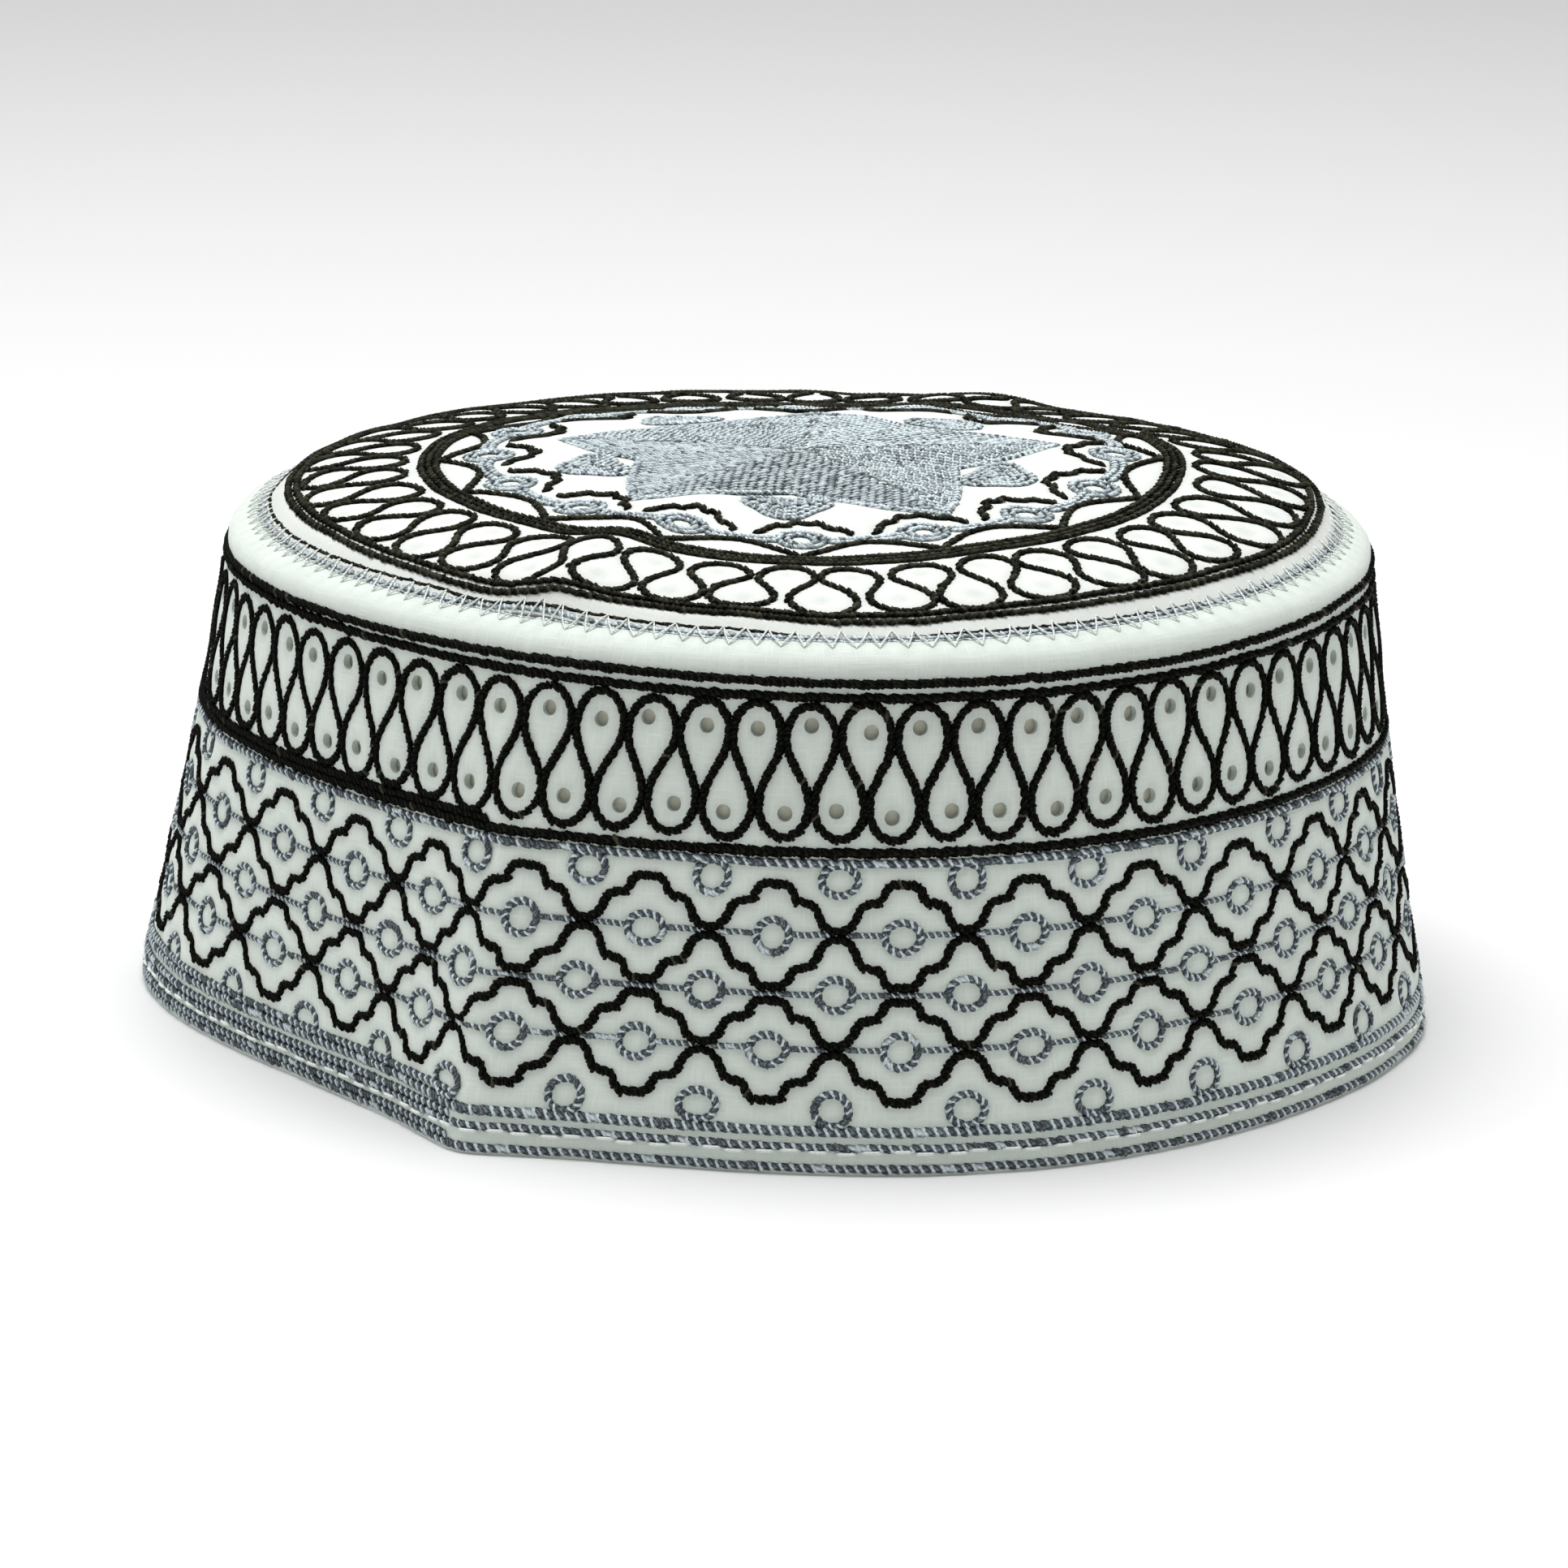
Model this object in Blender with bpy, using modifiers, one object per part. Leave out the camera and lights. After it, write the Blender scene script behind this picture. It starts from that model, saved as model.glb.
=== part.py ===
"""A stiff embroidered cotton kufi, resting on its hem.

Three sewn pieces: a tall side band that flares out to the hem, a low domed crown
sewn to the band's shoulder, and a thin lining band behind the eyelets.
Metres, +Z up.  The origin is the centre of the hem on the surface the cap rests on.
The cap was stored folded flat, so two creases run down the band at -Y (front) and +Y (back),
and a soft ridge joins them across the crown.
"""
import math

import bmesh
import bpy
import numpy as np
from mathutils import Matrix, Vector

# Cloth
BAND_CLOTH = 0.0014
HEM_CLOTH = 0.0026
CROWN_CLOTH = 0.0014
LINING_CLOTH = 0.0010
SEWN_GAP = 0.0003
LINING_GAP = 0.00036
SHARP_ANGLE = math.radians(40.0)

# Finish of each cloth: (red, green, blue), roughness
BAND_COTTON = ((0.74, 0.76, 0.73), 0.85)
CROWN_COTTON = ((0.84, 0.85, 0.83), 0.85)
LINING_COTTON = ((0.45, 0.44, 0.36), 0.90)

# Side band, outside: half-widths at three heights fix its hollow flare
HEM_HALF_WIDTH = 0.0914
WAIST_HALF_WIDTH = 0.0853
WAIST_HEIGHT = 0.0450
TOP_HALF_WIDTH = 0.0829
TOP_HEIGHT = 0.0696
SHOULDER_HALF_WIDTH = 0.0819
SHOULDER_HEIGHT = 0.0733
SEAM_HALF_WIDTH = 0.0786
SEAM_HEIGHT = 0.0752
HEM_ROUNDING = 0.0006
HEM_DEPTH = 0.0073
# The shoulder's inner point lies this many cloth thicknesses in and down from its outer one
SHOULDER_TURN_IN = 0.90
SHOULDER_TURN_DOWN = 0.55
BAND_ROW_HEIGHTS = (0.0075, 0.0200, 0.0330, 0.0450, 0.0575)
INNER_ROW_HEIGHTS = (0.0680, 0.0450, 0.0260, 0.0080)

# Plan outline: waves round the section, as shares of the half-width
# (waves in a turn, hem cosine, hem sine, top cosine, top sine)
OUTLINE_WAVES = (
    (2, -0.0811, 0.0074, -0.0369, -0.0089),
    (4, -0.0018, 0.0189, -0.0058, 0.0002),
    (6, 0.0082, -0.0046, 0.0, 0.0),
)
OUTLINE_TOP_HEIGHT = 0.0812
CREASE_SHARE = 0.116
CREASE_SPREAD = 0.150
CREASE_ROUNDING = 0.040
CREASE_FADE_HEIGHT = 0.0730
TOP_LEAN = (0.0024, 0.0016)

# Crown: (half-width, height, share of the dents, ridge height), seam to centre
CROWN_RINGS = (
    (0.0786, 0.0752, 0.0, 0.0006),
    (0.0745, 0.0777, 0.5, 0.0020),
    (0.0660, 0.0797, 0.8, 0.0016),
    (0.0541, 0.0812, 1.0, 0.0012),
    (0.0400, 0.0828, 0.8, 0.0008),
    (0.0220, 0.0841, 0.4, 0.0004),
    (0.0000, 0.0845, 0.0, 0.0),
)
# How far the crown stands above or below a true dome, every 30 degrees from the front crease
CROWN_DENTS = (
    0.0001, -0.0009, 0.0002, 0.0008, 0.0024, 0.0007,
    -0.0010, -0.0019, -0.0015, 0.0000, 0.0006, 0.0004,
)
# Towards the back seam the ridge drifts to one side, spreads and sinks
RIDGE_WIDTH = 0.0060
BACK_RIDGE_WIDTH = 0.0090
BACK_RIDGE_SHIFT = -0.0060
BACK_RIDGE_SHARE = 0.65

# Eyelets: (row height, phase in loops)
EYELET_ROWS = ((0.0631, 0.7), (0.0511, 0.2))
LOOPS_ROUND = 68
EYELET_RADIUS = 0.00115
EYELET_SIDES = 6
EYELET_CUT_DEPTH = 0.0060
# Wander of the eyelets along and up: sine waves of (turn per eyelet, start, turn per row)
EYELET_WANDER = 0.0005
WANDER_ALONG = (2.4, 0.0, 1.7)
WANDER_UP = (3.9, 0.6, 2.1)

STATIONS = 72
OUTLINE_SAMPLES = 720
TANGENT_STEP = 0.001


def clear_scene():
    for obj in list(bpy.data.objects):
        bpy.data.objects.remove(obj, do_unlink=True)


def new_collection(name):
    collection = bpy.data.collections.new(name)
    bpy.context.scene.collection.children.link(collection)
    return collection


def cloth_material(name, finish):
    colour, roughness = finish
    material = bpy.data.materials.new(name)
    material.use_nodes = True
    shader = material.node_tree.nodes["Principled BSDF"]
    shader.inputs["Base Color"].default_value = (*colour, 1.0)
    shader.inputs["Roughness"].default_value = roughness
    shader.inputs["Metallic"].default_value = 0.0
    return material


def band_half_width(height):
    """Parabola through the hem, the waist and the top line."""
    low = (WAIST_HALF_WIDTH - HEM_HALF_WIDTH) / WAIST_HEIGHT
    high = (TOP_HALF_WIDTH - WAIST_HALF_WIDTH) / (TOP_HEIGHT - WAIST_HEIGHT)
    bend = (high - low) / TOP_HEIGHT
    return HEM_HALF_WIDTH + low * height + bend * height * (height - WAIST_HEIGHT)


def outline_factor(angle, height):
    """Radius over half-width: waves that fade from hem to top, and a crease at the front and back."""
    rise = height / OUTLINE_TOP_HEIGHT
    factor = np.ones_like(angle)
    for waves, hem_cos, hem_sin, top_cos, top_sin in OUTLINE_WAVES:
        factor += (hem_cos + (top_cos - hem_cos) * rise) * np.cos(waves * angle)
        factor += (hem_sin + (top_sin - hem_sin) * rise) * np.sin(waves * angle)
    from_crease = (angle + math.pi / 2) % math.pi - math.pi / 2
    fade = max(0.0, 1.0 - height / CREASE_FADE_HEIGHT)
    return factor + CREASE_SHARE * fade * np.exp(-np.hypot(from_crease, CREASE_ROUNDING) / CREASE_SPREAD)


def plan_points(angle, half_width, height):
    """Points of the outline at one height; angle 0 is the front crease and grows towards +X."""
    radius = half_width * outline_factor(angle, height)
    rise = height / OUTLINE_TOP_HEIGHT
    x = np.sin(angle) * radius + TOP_LEAN[0] * rise
    y = -np.cos(angle) * radius + TOP_LEAN[1] * rise
    return np.stack([x, y, np.full_like(x, height)], axis=1)


def angles_at(shares, height):
    """Angles at which the outline has run the given shares of its length from the front crease."""
    fine = np.linspace(0.0, 2.0 * math.pi, OUTLINE_SAMPLES + 1)
    outline = plan_points(fine, 1.0, height)
    run = np.concatenate([[0.0], np.cumsum(np.linalg.norm(np.diff(outline, axis=0), axis=1))])
    return np.interp(shares, run / run[-1], fine)


def ring_points(half_width, height):
    shares = np.arange(STATIONS) / STATIONS
    return plan_points(angles_at(shares, height), half_width, height)


def smooth_turn(angle, values):
    """Cubic curve through values spaced evenly round one turn."""
    values = np.asarray(values)
    count = len(values)
    place = angle / (2.0 * math.pi) * count
    index = np.floor(place).astype(int)
    part = place - index
    before, start, end, after = (values[(index + step) % count] for step in (-1, 0, 1, 2))
    slope = end - before
    bow = 2.0 * before - 5.0 * start + 4.0 * end - after
    twist = 3.0 * (start - end) + after - before
    return 0.5 * (2.0 * start + part * (slope + part * (bow + part * twist)))


def crown_ring(half_width, height, dent_share, ridge):
    """One ring of the crown's outer face: the dome, its dents and the ridge along the crease."""
    points = ring_points(half_width, height)
    rise = height / OUTLINE_TOP_HEIGHT
    from_crease = points[:, 0] - TOP_LEAN[0] * rise
    angle = np.arctan2(from_crease, -(points[:, 1] - TOP_LEAN[1] * rise)) % (2.0 * math.pi)
    points[:, 2] += dent_share * smooth_turn(angle, CROWN_DENTS)
    backward = np.clip((points[:, 1] - TOP_LEAN[1] * rise) / SEAM_HALF_WIDTH, 0.0, 1.0)
    width = RIDGE_WIDTH + (BACK_RIDGE_WIDTH - RIDGE_WIDTH) * backward
    top = ridge * (1.0 - (1.0 - BACK_RIDGE_SHARE) * backward)
    points[:, 2] += top * np.exp(-((from_crease - BACK_RIDGE_SHIFT * backward) / width) ** 2)
    return points


def loft(name, rings, closed, pole=None):
    """Skin of triangles through equal rings; closed joins the last ring to the first.

    Every diagonal climbs towards the next station, so skins that lie close together stay parallel.
    """
    vertices = [tuple(point) for ring in rings for point in ring]
    faces = []
    for row in range(len(rings) if closed else len(rings) - 1):
        following = (row + 1) % len(rings)
        first = row * STATIONS
        second = following * STATIONS
        climbs = rings[following][:, 2].mean() >= rings[row][:, 2].mean()
        for station in range(STATIONS):
            after = (station + 1) % STATIONS
            corners = (first + station, first + after, second + after, second + station)
            start = 0 if climbs else 1
            faces.append(tuple(corners[(start + step) % 4] for step in (0, 1, 2)))
            faces.append(tuple(corners[(start + step) % 4] for step in (0, 2, 3)))
    if pole is not None:
        top = (len(rings) - 1) * STATIONS
        vertices.append(pole)
        for station in range(STATIONS):
            faces.append((top + station, top + (station + 1) % STATIONS, len(vertices) - 1))
    mesh = bpy.data.meshes.new(name)
    mesh.from_pydata(vertices, [], faces)
    mesh.update()
    return mesh


def add_piece(name, mesh, material, collection):
    mesh.materials.append(material)
    mesh.shade_smooth()
    mesh.set_sharp_from_angle(angle=SHARP_ANGLE)
    obj = bpy.data.objects.new(name, mesh)
    collection.objects.link(obj)
    return obj


def give_thickness(obj, thickness):
    solidify = obj.modifiers.new("cloth thickness", "SOLIDIFY")
    solidify.thickness = thickness
    solidify.offset = -1.0
    solidify.use_even_offset = True


def normal_at_end(inner_end, outer_end):
    """Unit outward normal, as (across, up), of a profile's last straight stretch."""
    across = outer_end[0] - inner_end[0]
    up = outer_end[1] - inner_end[1]
    length = math.hypot(across, up)
    return up / length, -across / length


def band_profile():
    """Closed (half-width, height) profile: up the outside, over the seam edge, down the inside."""
    outer = [(HEM_HALF_WIDTH - HEM_ROUNDING, 0.0), (band_half_width(HEM_ROUNDING), HEM_ROUNDING)]
    outer += [(band_half_width(height), height) for height in BAND_ROW_HEIGHTS]
    outer.append((TOP_HALF_WIDTH, TOP_HEIGHT))
    outer.append((SHOULDER_HALF_WIDTH, SHOULDER_HEIGHT))
    outer.append((SEAM_HALF_WIDTH, SEAM_HEIGHT))
    across, up = normal_at_end(outer[-2], outer[-1])
    inner = [(SEAM_HALF_WIDTH - BAND_CLOTH * across, SEAM_HEIGHT - BAND_CLOTH * up)]
    inner.append((
        SHOULDER_HALF_WIDTH - SHOULDER_TURN_IN * BAND_CLOTH,
        SHOULDER_HEIGHT - SHOULDER_TURN_DOWN * BAND_CLOTH,
    ))
    inner += [(band_half_width(height) - BAND_CLOTH, height) for height in INNER_ROW_HEIGHTS]
    inner.append((band_half_width(HEM_DEPTH) - HEM_CLOTH, HEM_DEPTH))
    inner.append((HEM_HALF_WIDTH - HEM_CLOTH, 0.0))
    return outer + inner


def eyelet_wander(index, row):
    """Small shifts, along and up, that keep the hand-cut eyelets from lining up exactly."""
    return tuple(
        EYELET_WANDER * math.sin(per_eyelet * index + start + per_row * row)
        for per_eyelet, start, per_row in (WANDER_ALONG, WANDER_UP))


def eyelet_cutter(collection):
    """One mesh of short six-sided punches, square to the band at every eyelet."""
    bm = bmesh.new()
    for row, (height, phase) in enumerate(EYELET_ROWS):
        fine = plan_points(np.linspace(0.0, 2.0 * math.pi, OUTLINE_SAMPLES), band_half_width(height), height)
        length = np.linalg.norm(np.diff(fine, axis=0), axis=1).sum()
        for index in range(LOOPS_ROUND):
            along, up = eyelet_wander(index, row)
            share = (index + phase) / LOOPS_ROUND + along / length
            angle = angles_at(np.array([share]), height)
            near = angles_at(np.array([share + TANGENT_STEP]), height)
            place = Vector(plan_points(angle, band_half_width(height), height)[0])
            beside = Vector(plan_points(near, band_half_width(height), height)[0])
            outward = (beside - place).cross(Vector((0.0, 0.0, 1.0))).normalized()
            turn = outward.to_track_quat("Z", "Y").to_matrix().to_4x4()
            bmesh.ops.create_cone(
                bm, cap_ends=True, segments=EYELET_SIDES, radius1=EYELET_RADIUS, radius2=EYELET_RADIUS,
                depth=EYELET_CUT_DEPTH, matrix=Matrix.Translation(place + Vector((0.0, 0.0, up))) @ turn)
    mesh = bpy.data.meshes.new("eyelet_punches")
    bm.to_mesh(mesh)
    bm.free()
    cutter = bpy.data.objects.new("eyelet_punches", mesh)
    cutter.hide_render = True
    cutter.display_type = "WIRE"
    collection.objects.link(cutter)
    return cutter


def build_side_band(collection, cutters):
    """The tall band: one thick strip with a double hem and two rows of cut eyelets."""
    rings = [ring_points(half_width, height) for half_width, height in band_profile()]
    mesh = loft("side_band", rings, closed=True)
    band = add_piece("side_band", mesh, cloth_material("band_cotton", BAND_COTTON), collection)
    cut = band.modifiers.new("cut the eyelets", "BOOLEAN")
    cut.operation = "DIFFERENCE"
    cut.solver = "EXACT"
    cut.object = eyelet_cutter(cutters)


def build_crown(collection):
    """The low domed top, sewn edge to edge with the band's shoulder."""
    seam = CROWN_RINGS[0]
    across, up = normal_at_end((SHOULDER_HALF_WIDTH, SHOULDER_HEIGHT), (SEAM_HALF_WIDTH, SEAM_HEIGHT))
    edge = (seam[0] - SEWN_GAP * up, seam[1] + SEWN_GAP * across, seam[2], seam[3])
    rings = [crown_ring(*edge)] + [crown_ring(*row) for row in CROWN_RINGS[1:-1]]
    centre_height = CROWN_RINGS[-1][1]
    rise = centre_height / OUTLINE_TOP_HEIGHT
    pole = (TOP_LEAN[0] * rise, TOP_LEAN[1] * rise, centre_height)
    mesh = loft("crown", rings, closed=False, pole=pole)
    crown = add_piece("crown", mesh, cloth_material("crown_cotton", CROWN_COTTON), collection)
    give_thickness(crown, CROWN_CLOTH)


def build_lining(collection):
    """The thin inner band that shows through the eyelets, from the hem's fold to the top line."""
    inset = BAND_CLOTH + LINING_GAP
    rings = [ring_points(band_half_width(height) - inset, height) for height in reversed(INNER_ROW_HEIGHTS)]
    mesh = loft("band_lining", rings, closed=False)
    lining = add_piece("band_lining", mesh, cloth_material("lining_cotton", LINING_COTTON), collection)
    give_thickness(lining, LINING_CLOTH)


def main():
    clear_scene()
    kufi = new_collection("kufi")
    cutters = new_collection("kufi_cutters")
    build_side_band(kufi, cutters)
    build_crown(kufi)
    build_lining(kufi)


main()
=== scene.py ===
# %% [markdown]
# # A white kufi worked in black and grey chain stitch
# A kufi is a stiff brimless cap. This one has a tall band that flares towards the hem and a low domed
# crown, both of white cotton, and almost every detail on them is thread: rows of chain stitch that pull
# the padded cloth in and leave it puffed between them. The frame gives the plain solids at their real
# size. This lesson dresses them: it lays each flat pattern on the cap, works out where the stitches
# press the cloth, and then sews thousands of small stitches along the same lines.

# %% Load the frame
import math

import bpy
import numpy as np
from mathutils import Matrix, Vector


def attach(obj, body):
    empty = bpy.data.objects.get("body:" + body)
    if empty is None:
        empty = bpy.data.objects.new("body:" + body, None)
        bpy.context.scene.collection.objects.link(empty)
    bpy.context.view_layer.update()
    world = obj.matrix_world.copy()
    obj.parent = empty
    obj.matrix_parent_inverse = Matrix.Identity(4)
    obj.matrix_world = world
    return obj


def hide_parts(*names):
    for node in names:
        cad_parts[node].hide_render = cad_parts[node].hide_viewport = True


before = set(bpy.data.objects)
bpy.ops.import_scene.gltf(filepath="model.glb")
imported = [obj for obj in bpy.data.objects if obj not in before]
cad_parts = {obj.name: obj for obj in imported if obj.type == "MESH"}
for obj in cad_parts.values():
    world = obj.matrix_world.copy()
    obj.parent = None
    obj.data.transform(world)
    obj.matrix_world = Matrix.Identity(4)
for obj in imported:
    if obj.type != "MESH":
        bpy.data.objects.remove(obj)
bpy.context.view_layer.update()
print("nodes", sorted(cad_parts))

# %% [markdown]
# ## The outside of the cap
# The plan of the cap is not a circle: it is an oval with two soft creases, at the front and the back,
# where it was folded flat. The same waves and half-widths as in the frame give that outline at every
# height. All later steps ask only two questions of it: where is a point of the band, and where is a
# point of the crown.

# %% Sizes of the cap, in metres
FULL_TURN = 2.0 * math.pi
TINY = 1e-9
BAND_CLOTH = 0.0014
HEM_CLOTH = 0.0026
CROWN_CLOTH = 0.0014
LINING_CLOTH = 0.0010
LINING_GAP = 0.00036
HEM_HALF_WIDTH = 0.0914
WAIST_HALF_WIDTH = 0.0853
WAIST_HEIGHT = 0.0450
TOP_HALF_WIDTH = 0.0829
TOP_HEIGHT = 0.0696
SEAM_HALF_WIDTH = 0.0786
SEAM_HEIGHT = 0.0752
HEM_ROUNDING = 0.0006
TOP_LEAN = (0.0024, 0.0016)
OUTLINE_TOP_HEIGHT = 0.0812
# Waves round the outline: waves in a turn, hem cosine, hem sine, top cosine, top sine
OUTLINE_WAVES = (
    (2, -0.0811, 0.0074, -0.0369, -0.0089),
    (4, -0.0018, 0.0189, -0.0058, 0.0002),
    (6, 0.0082, -0.0046, 0.0, 0.0),
)
CREASE_SHARE = 0.116
CREASE_SPREAD = 0.150
CREASE_ROUNDING = 0.040
CREASE_FADE_HEIGHT = 0.0730
# Crown, seam to centre: half-width, height, share of the dents, height of the ridge along the crease
CROWN_RINGS = (
    (0.0786, 0.0752, 0.0, 0.0006),
    (0.0745, 0.0777, 0.5, 0.0020),
    (0.0660, 0.0797, 0.8, 0.0016),
    (0.0541, 0.0812, 1.0, 0.0012),
    (0.0400, 0.0828, 0.8, 0.0008),
    (0.0220, 0.0841, 0.4, 0.0004),
    (0.0000, 0.0845, 0.0, 0.0),
)
# How far the crown stands off a true dome, every 30 degrees from the front crease
CROWN_DENTS = (
    0.0001, -0.0009, 0.0002, 0.0008, 0.0024, 0.0007,
    -0.0010, -0.0019, -0.0015, 0.0000, 0.0006, 0.0004,
)
# Towards the back seam the ridge drifts to one side, spreads and sinks
RIDGE_WIDTH = 0.0060
BACK_RIDGE_WIDTH = 0.0090
BACK_RIDGE_SHIFT = -0.0060
BACK_RIDGE_SHARE = 0.65


# %% Outline of the cap at any height
def outline_factor(angle, height):
    """Radius over half-width: waves that fade from hem to top, and a crease at the front and back."""
    rise = height / OUTLINE_TOP_HEIGHT
    factor = 1.0
    for waves, hem_cos, hem_sin, top_cos, top_sin in OUTLINE_WAVES:
        factor = factor + (hem_cos + (top_cos - hem_cos) * rise) * np.cos(waves * angle)
        factor = factor + (hem_sin + (top_sin - hem_sin) * rise) * np.sin(waves * angle)
    from_crease = (angle + math.pi / 2) % math.pi - math.pi / 2
    fade = np.maximum(0.0, 1.0 - height / CREASE_FADE_HEIGHT)
    return factor + CREASE_SHARE * fade * np.exp(-np.hypot(from_crease, CREASE_ROUNDING) / CREASE_SPREAD)


def plan_points(angle, half_width, height):
    """Points of the outline; angle 0 is the front crease at -Y and it grows towards +X."""
    radius = half_width * outline_factor(angle, height)
    rise = height / OUTLINE_TOP_HEIGHT
    x = np.sin(angle) * radius + TOP_LEAN[0] * rise
    y = -np.cos(angle) * radius + TOP_LEAN[1] * rise
    return np.stack([x, y, height + 0.0 * radius], axis=-1)


def run_along(points):
    """Distance run at each point of a path, from 0 at its start."""
    return np.concatenate([[0.0], np.cumsum(np.linalg.norm(np.diff(points, axis=0), axis=1))])


def angles_of_even_shares(height, count):
    """Angles at which the outline at one height has run 0, 1/count, 2/count ... of its length."""
    fine = np.linspace(0.0, FULL_TURN, count + 1)
    run = run_along(plan_points(fine, 1.0, height))
    return np.interp(np.linspace(0.0, run[-1], count + 1), run, fine)


SHARE_STEPS = 1440
LEVELS = np.linspace(0.0, 0.086, 19)
ANGLE_TABLE = np.array([angles_of_even_shares(level, SHARE_STEPS) for level in LEVELS])


def angle_at(share, height):
    """Angle of a share of the way round, read between the nearest entries of the table."""
    column = (share % 1.0) * SHARE_STEPS
    left = np.minimum(np.floor(column).astype(int), SHARE_STEPS - 1)
    across = column - left
    row = np.clip(height / LEVELS[-1], 0.0, 0.9999) * (len(LEVELS) - 1)
    low = np.floor(row).astype(int)
    lower = ANGLE_TABLE[low, left] * (1 - across) + ANGLE_TABLE[low, left + 1] * across
    upper = ANGLE_TABLE[low + 1, left] * (1 - across) + ANGLE_TABLE[low + 1, left + 1] * across
    return lower + (upper - lower) * (row - low)


# %% Smooth curves through short tables
def smooth_line(table, closed, per_span):
    """Cubic curve through rows of a table; between two rows the slope at each comes from its neighbours."""
    rows = np.asarray(table, float)
    count = len(rows)
    first = np.arange(count if closed else count - 1)

    def shifted(step):
        """The rows a number of steps along, round again if the line is closed, else held at its ends."""
        place = first + step
        return rows[place % count if closed else np.clip(place, 0, count - 1)][:, None, :]

    before, start, end, after = (shifted(step) for step in (-1, 0, 1, 2))
    part = (np.arange(per_span) / per_span)[None, :, None]
    bow = 2.0 * before - 5.0 * start + 4.0 * end - after
    twist = 3.0 * (start - end) + after - before
    curve = 0.5 * (2.0 * start + part * (end - before + part * (bow + part * twist)))
    curve = curve.reshape(-1, rows.shape[1])
    return curve if closed else np.vstack([curve, rows[-1:]])


TURN_TABLE = smooth_line(np.array(CROWN_DENTS)[:, None], closed=True, per_span=30)[:, 0]
CROWN_CURVE = smooth_line(CROWN_RINGS, closed=False, per_span=24)[::-1]


# %% The band's profile
def band_half_width(height):
    """Parabola through the hem, the waist and the top line."""
    low = (WAIST_HALF_WIDTH - HEM_HALF_WIDTH) / WAIST_HEIGHT
    high = (TOP_HALF_WIDTH - WAIST_HALF_WIDTH) / (TOP_HEIGHT - WAIST_HEIGHT)
    bend = (high - low) / TOP_HEIGHT
    return HEM_HALF_WIDTH + low * height + bend * height * (height - WAIST_HEIGHT)


def bezier(corners, count):
    """Cubic curve from two ends and two handles, each weighted by its share of the step."""
    part = np.linspace(0.0, 1.0, count)[:, None]
    weights = ((1 - part) ** 3, 3 * part * (1 - part) ** 2, 3 * part**2 * (1 - part), part**3)
    return sum(weight * np.array(corner) for weight, corner in zip(weights, corners))


straight = np.linspace(HEM_ROUNDING, TOP_HEIGHT, 300)
quarter = np.linspace(0.0, math.pi / 2, 6)[:-1]
rounding = np.stack([
    band_half_width(HEM_ROUNDING) - HEM_ROUNDING * (1 - np.sin(quarter)),
    HEM_ROUNDING * (1 - np.cos(quarter)),
], axis=1)
shoulder = bezier([
    (TOP_HALF_WIDTH, TOP_HEIGHT), (TOP_HALF_WIDTH - 0.0001, TOP_HEIGHT + 0.0032),
    (SEAM_HALF_WIDTH + 0.0026, SEAM_HEIGHT - 0.0014), (SEAM_HALF_WIDTH, SEAM_HEIGHT),
], 60)[1:]
PROFILE = np.vstack([rounding, np.stack([band_half_width(straight), straight], axis=1), shoulder])
PROFILE_RUN = run_along(PROFILE)
BAND_LENGTH = 0.560
BAND_TALL = PROFILE_RUN[-1]


# %% Both surfaces, from flat points
def climb_to(height):
    """Distance up the band's cloth, from the hem's edge, at which it reaches a height."""
    return np.interp(height, PROFILE[:, 1], PROFILE_RUN)


def place_on_band(x, y):
    """The band's flat strip, x round from the front crease and y up from the hem, laid on the cap."""
    half_width = np.interp(y, PROFILE_RUN, PROFILE[:, 0])
    height = np.interp(y, PROFILE_RUN, PROFILE[:, 1])
    return plan_points(angle_at(x / BAND_LENGTH, height), half_width, height)


def place_on_crown(x, y):
    """The crown's flat disc laid on the dome: distance from the middle is the half-width."""
    half_width = np.hypot(x, y)
    height, dent_share, ridge = (
        np.interp(half_width, CROWN_CURVE[:, 0], CROWN_CURVE[:, column]) for column in (1, 2, 3))
    angle = angle_at(np.arctan2(x, -y) / FULL_TURN, height)
    points = plan_points(angle, half_width, height)
    turn = np.linspace(0.0, FULL_TURN, len(TURN_TABLE) + 1)
    dent = np.interp(angle % FULL_TURN, turn, np.append(TURN_TABLE, TURN_TABLE[0]))
    rise = height / OUTLINE_TOP_HEIGHT
    from_crease = points[..., 0] - TOP_LEAN[0] * rise
    backward = np.clip((points[..., 1] - TOP_LEAN[1] * rise) / SEAM_HALF_WIDTH, 0.0, 1.0)
    width = RIDGE_WIDTH + (BACK_RIDGE_WIDTH - RIDGE_WIDTH) * backward
    top = ridge * (1.0 - (1.0 - BACK_RIDGE_SHARE) * backward)
    points[..., 2] += dent_share * dent
    points[..., 2] += top * np.exp(-((from_crease - BACK_RIDGE_SHIFT * backward) / width) ** 2)
    return points


print("band", round(BAND_TALL * 1000, 1), "mm tall,", "crown seam", round(SEAM_HALF_WIDTH * 2000, 1), "mm")

# %% [markdown]
# ## Two flat pieces of cloth
# Padded cloth sinks under a row of stitches and rises between rows. That could be simulated, but the
# rule is simple enough to write down: draw every stitched line on a fine square net laid over the flat
# piece, blur the net, and sink the cloth where the net is dark. A Fourier transform blurs the whole net
# at once. Each piece keeps two nets, a narrow one for the crease under the thread and a wide one for
# the quilted swell around it.

# %% A piece of cloth that stitches can pull in
NET_CELL = 0.00025
CREASE_REACH = 0.0007
SWELL_REACH = 0.0021
CREASE_DEPTH = 0.00030
SWELL_DEPTH = 0.00062
LOFT = 0.00055
LOFT_REACH = 0.0050
UNEVEN = 0.00006
PULL_RATE = 1.2
NORMAL_STEP = 0.0004


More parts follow.
